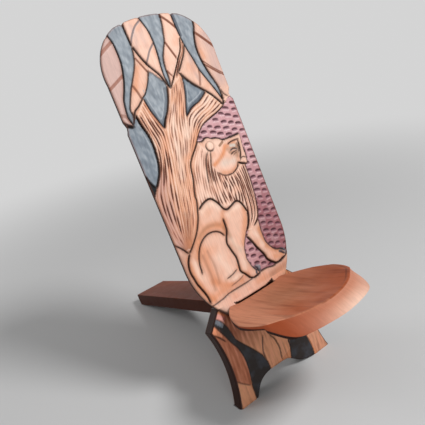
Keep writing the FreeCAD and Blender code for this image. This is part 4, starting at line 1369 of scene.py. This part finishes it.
def make_world():
    """Soft light from all round. What is seen or mirrored of the world is the pale backdrop."""
    world = bpy.data.worlds.new("studio")
    bpy.context.scene.world = world
    world.use_nodes = True
    tree = world.node_tree
    soft = tree.nodes["Background"]
    fill_in(soft, {"Color": (1, 1, 1, 1), "Strength": WORLD_LIGHT})
    pale = node_of(tree, "ShaderNodeBackground", {"Color": BACKDROP})
    seen = node_of(tree, "ShaderNodeLightPath")
    mixed = node_of(tree, "ShaderNodeMixShader")
    mirrored = node_of(tree, "ShaderNodeMath", operation="MAXIMUM")
    shown = node_of(tree, "ShaderNodeMath", operation="MAXIMUM")
    link = tree.links.new
    link(seen.outputs["Is Glossy Ray"], mirrored.inputs[0])
    link(seen.outputs["Is Transmission Ray"], mirrored.inputs[1])
    link(seen.outputs["Is Camera Ray"], shown.inputs[0])
    link(mirrored.outputs["Value"], shown.inputs[1])
    link(shown.outputs["Value"], mixed.inputs["Fac"])
    link(soft.outputs["Background"], mixed.inputs[1])
    link(pale.outputs["Background"], mixed.inputs[2])
    link(mixed.outputs["Shader"], tree.nodes["World Output"].inputs["Surface"])


def soft_light(name, place, aim, size, power):
    bpy.ops.object.light_add(type="AREA", location=place)
    lamp = bpy.context.object
    lamp.name = name
    lamp.data.shape = "DISK"
    lamp.data.size = size
    lamp.data.energy = power
    lamp.rotation_euler = (Vector(aim) - Vector(place)).to_track_quat("-Z", "Y").to_euler()


def make_camera():
    """The photograph's view: turned to the left, from above, and tipped."""
    az, el, roll = radians(-33.947), radians(21.786), radians(-11.985)
    back = Vector((sin(az) * cos(el), -cos(az) * cos(el), sin(el)))
    x = Vector((0, 0, 1)).cross(back).normalized()
    y = back.cross(x)
    across = x * cos(roll) + y * sin(roll)
    upward = y * cos(roll) - x * sin(roll)
    bpy.ops.object.camera_add(location=(-0.72849, FOOT_Y - 0.88347, 0.96289))
    camera = bpy.context.object
    camera.name = "photo_camera"
    camera.rotation_euler = Matrix((across, upward, back)).transposed().to_euler()
    camera.data.lens = 44.785
    camera.data.sensor_width = 36
    bpy.context.scene.camera = camera


carved_wood = wood("carved_wood", (260, 260, 26), grain_share=0.12, bump=0.35, shine=0.06)
seat_wood = wood("seat_wood", (210, 9, 60), grain_share=0.1, bump=0.05, shine=0.0)
for piece, body, node, slot, material in (
        (make_carved_back(), "back", "back_board", "carved_wood", carved_wood),
        (make_back_legs(), "back", "back_board", "carved_wood", carved_wood),
        (make_seat(), "seat", "seat_board", "seat_wood", seat_wood)):
    piece.data.materials.append(material)
    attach(piece, body)
    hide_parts(node)

make_floor()
make_world()
soft_light("key", (1.3, -2.2, 3.4), (0, -0.1, 0.45), 1.1, 99)
soft_light("fill", (-1.4, -3.0, 0.8), (0, 0, 0.3), 2.0, 24)
soft_light("rear", (-2.2, 2.2, 2.2), (0, 0, 0.5), 1.6, 24)
make_camera()
bpy.context.scene.view_settings.view_transform = "Standard"
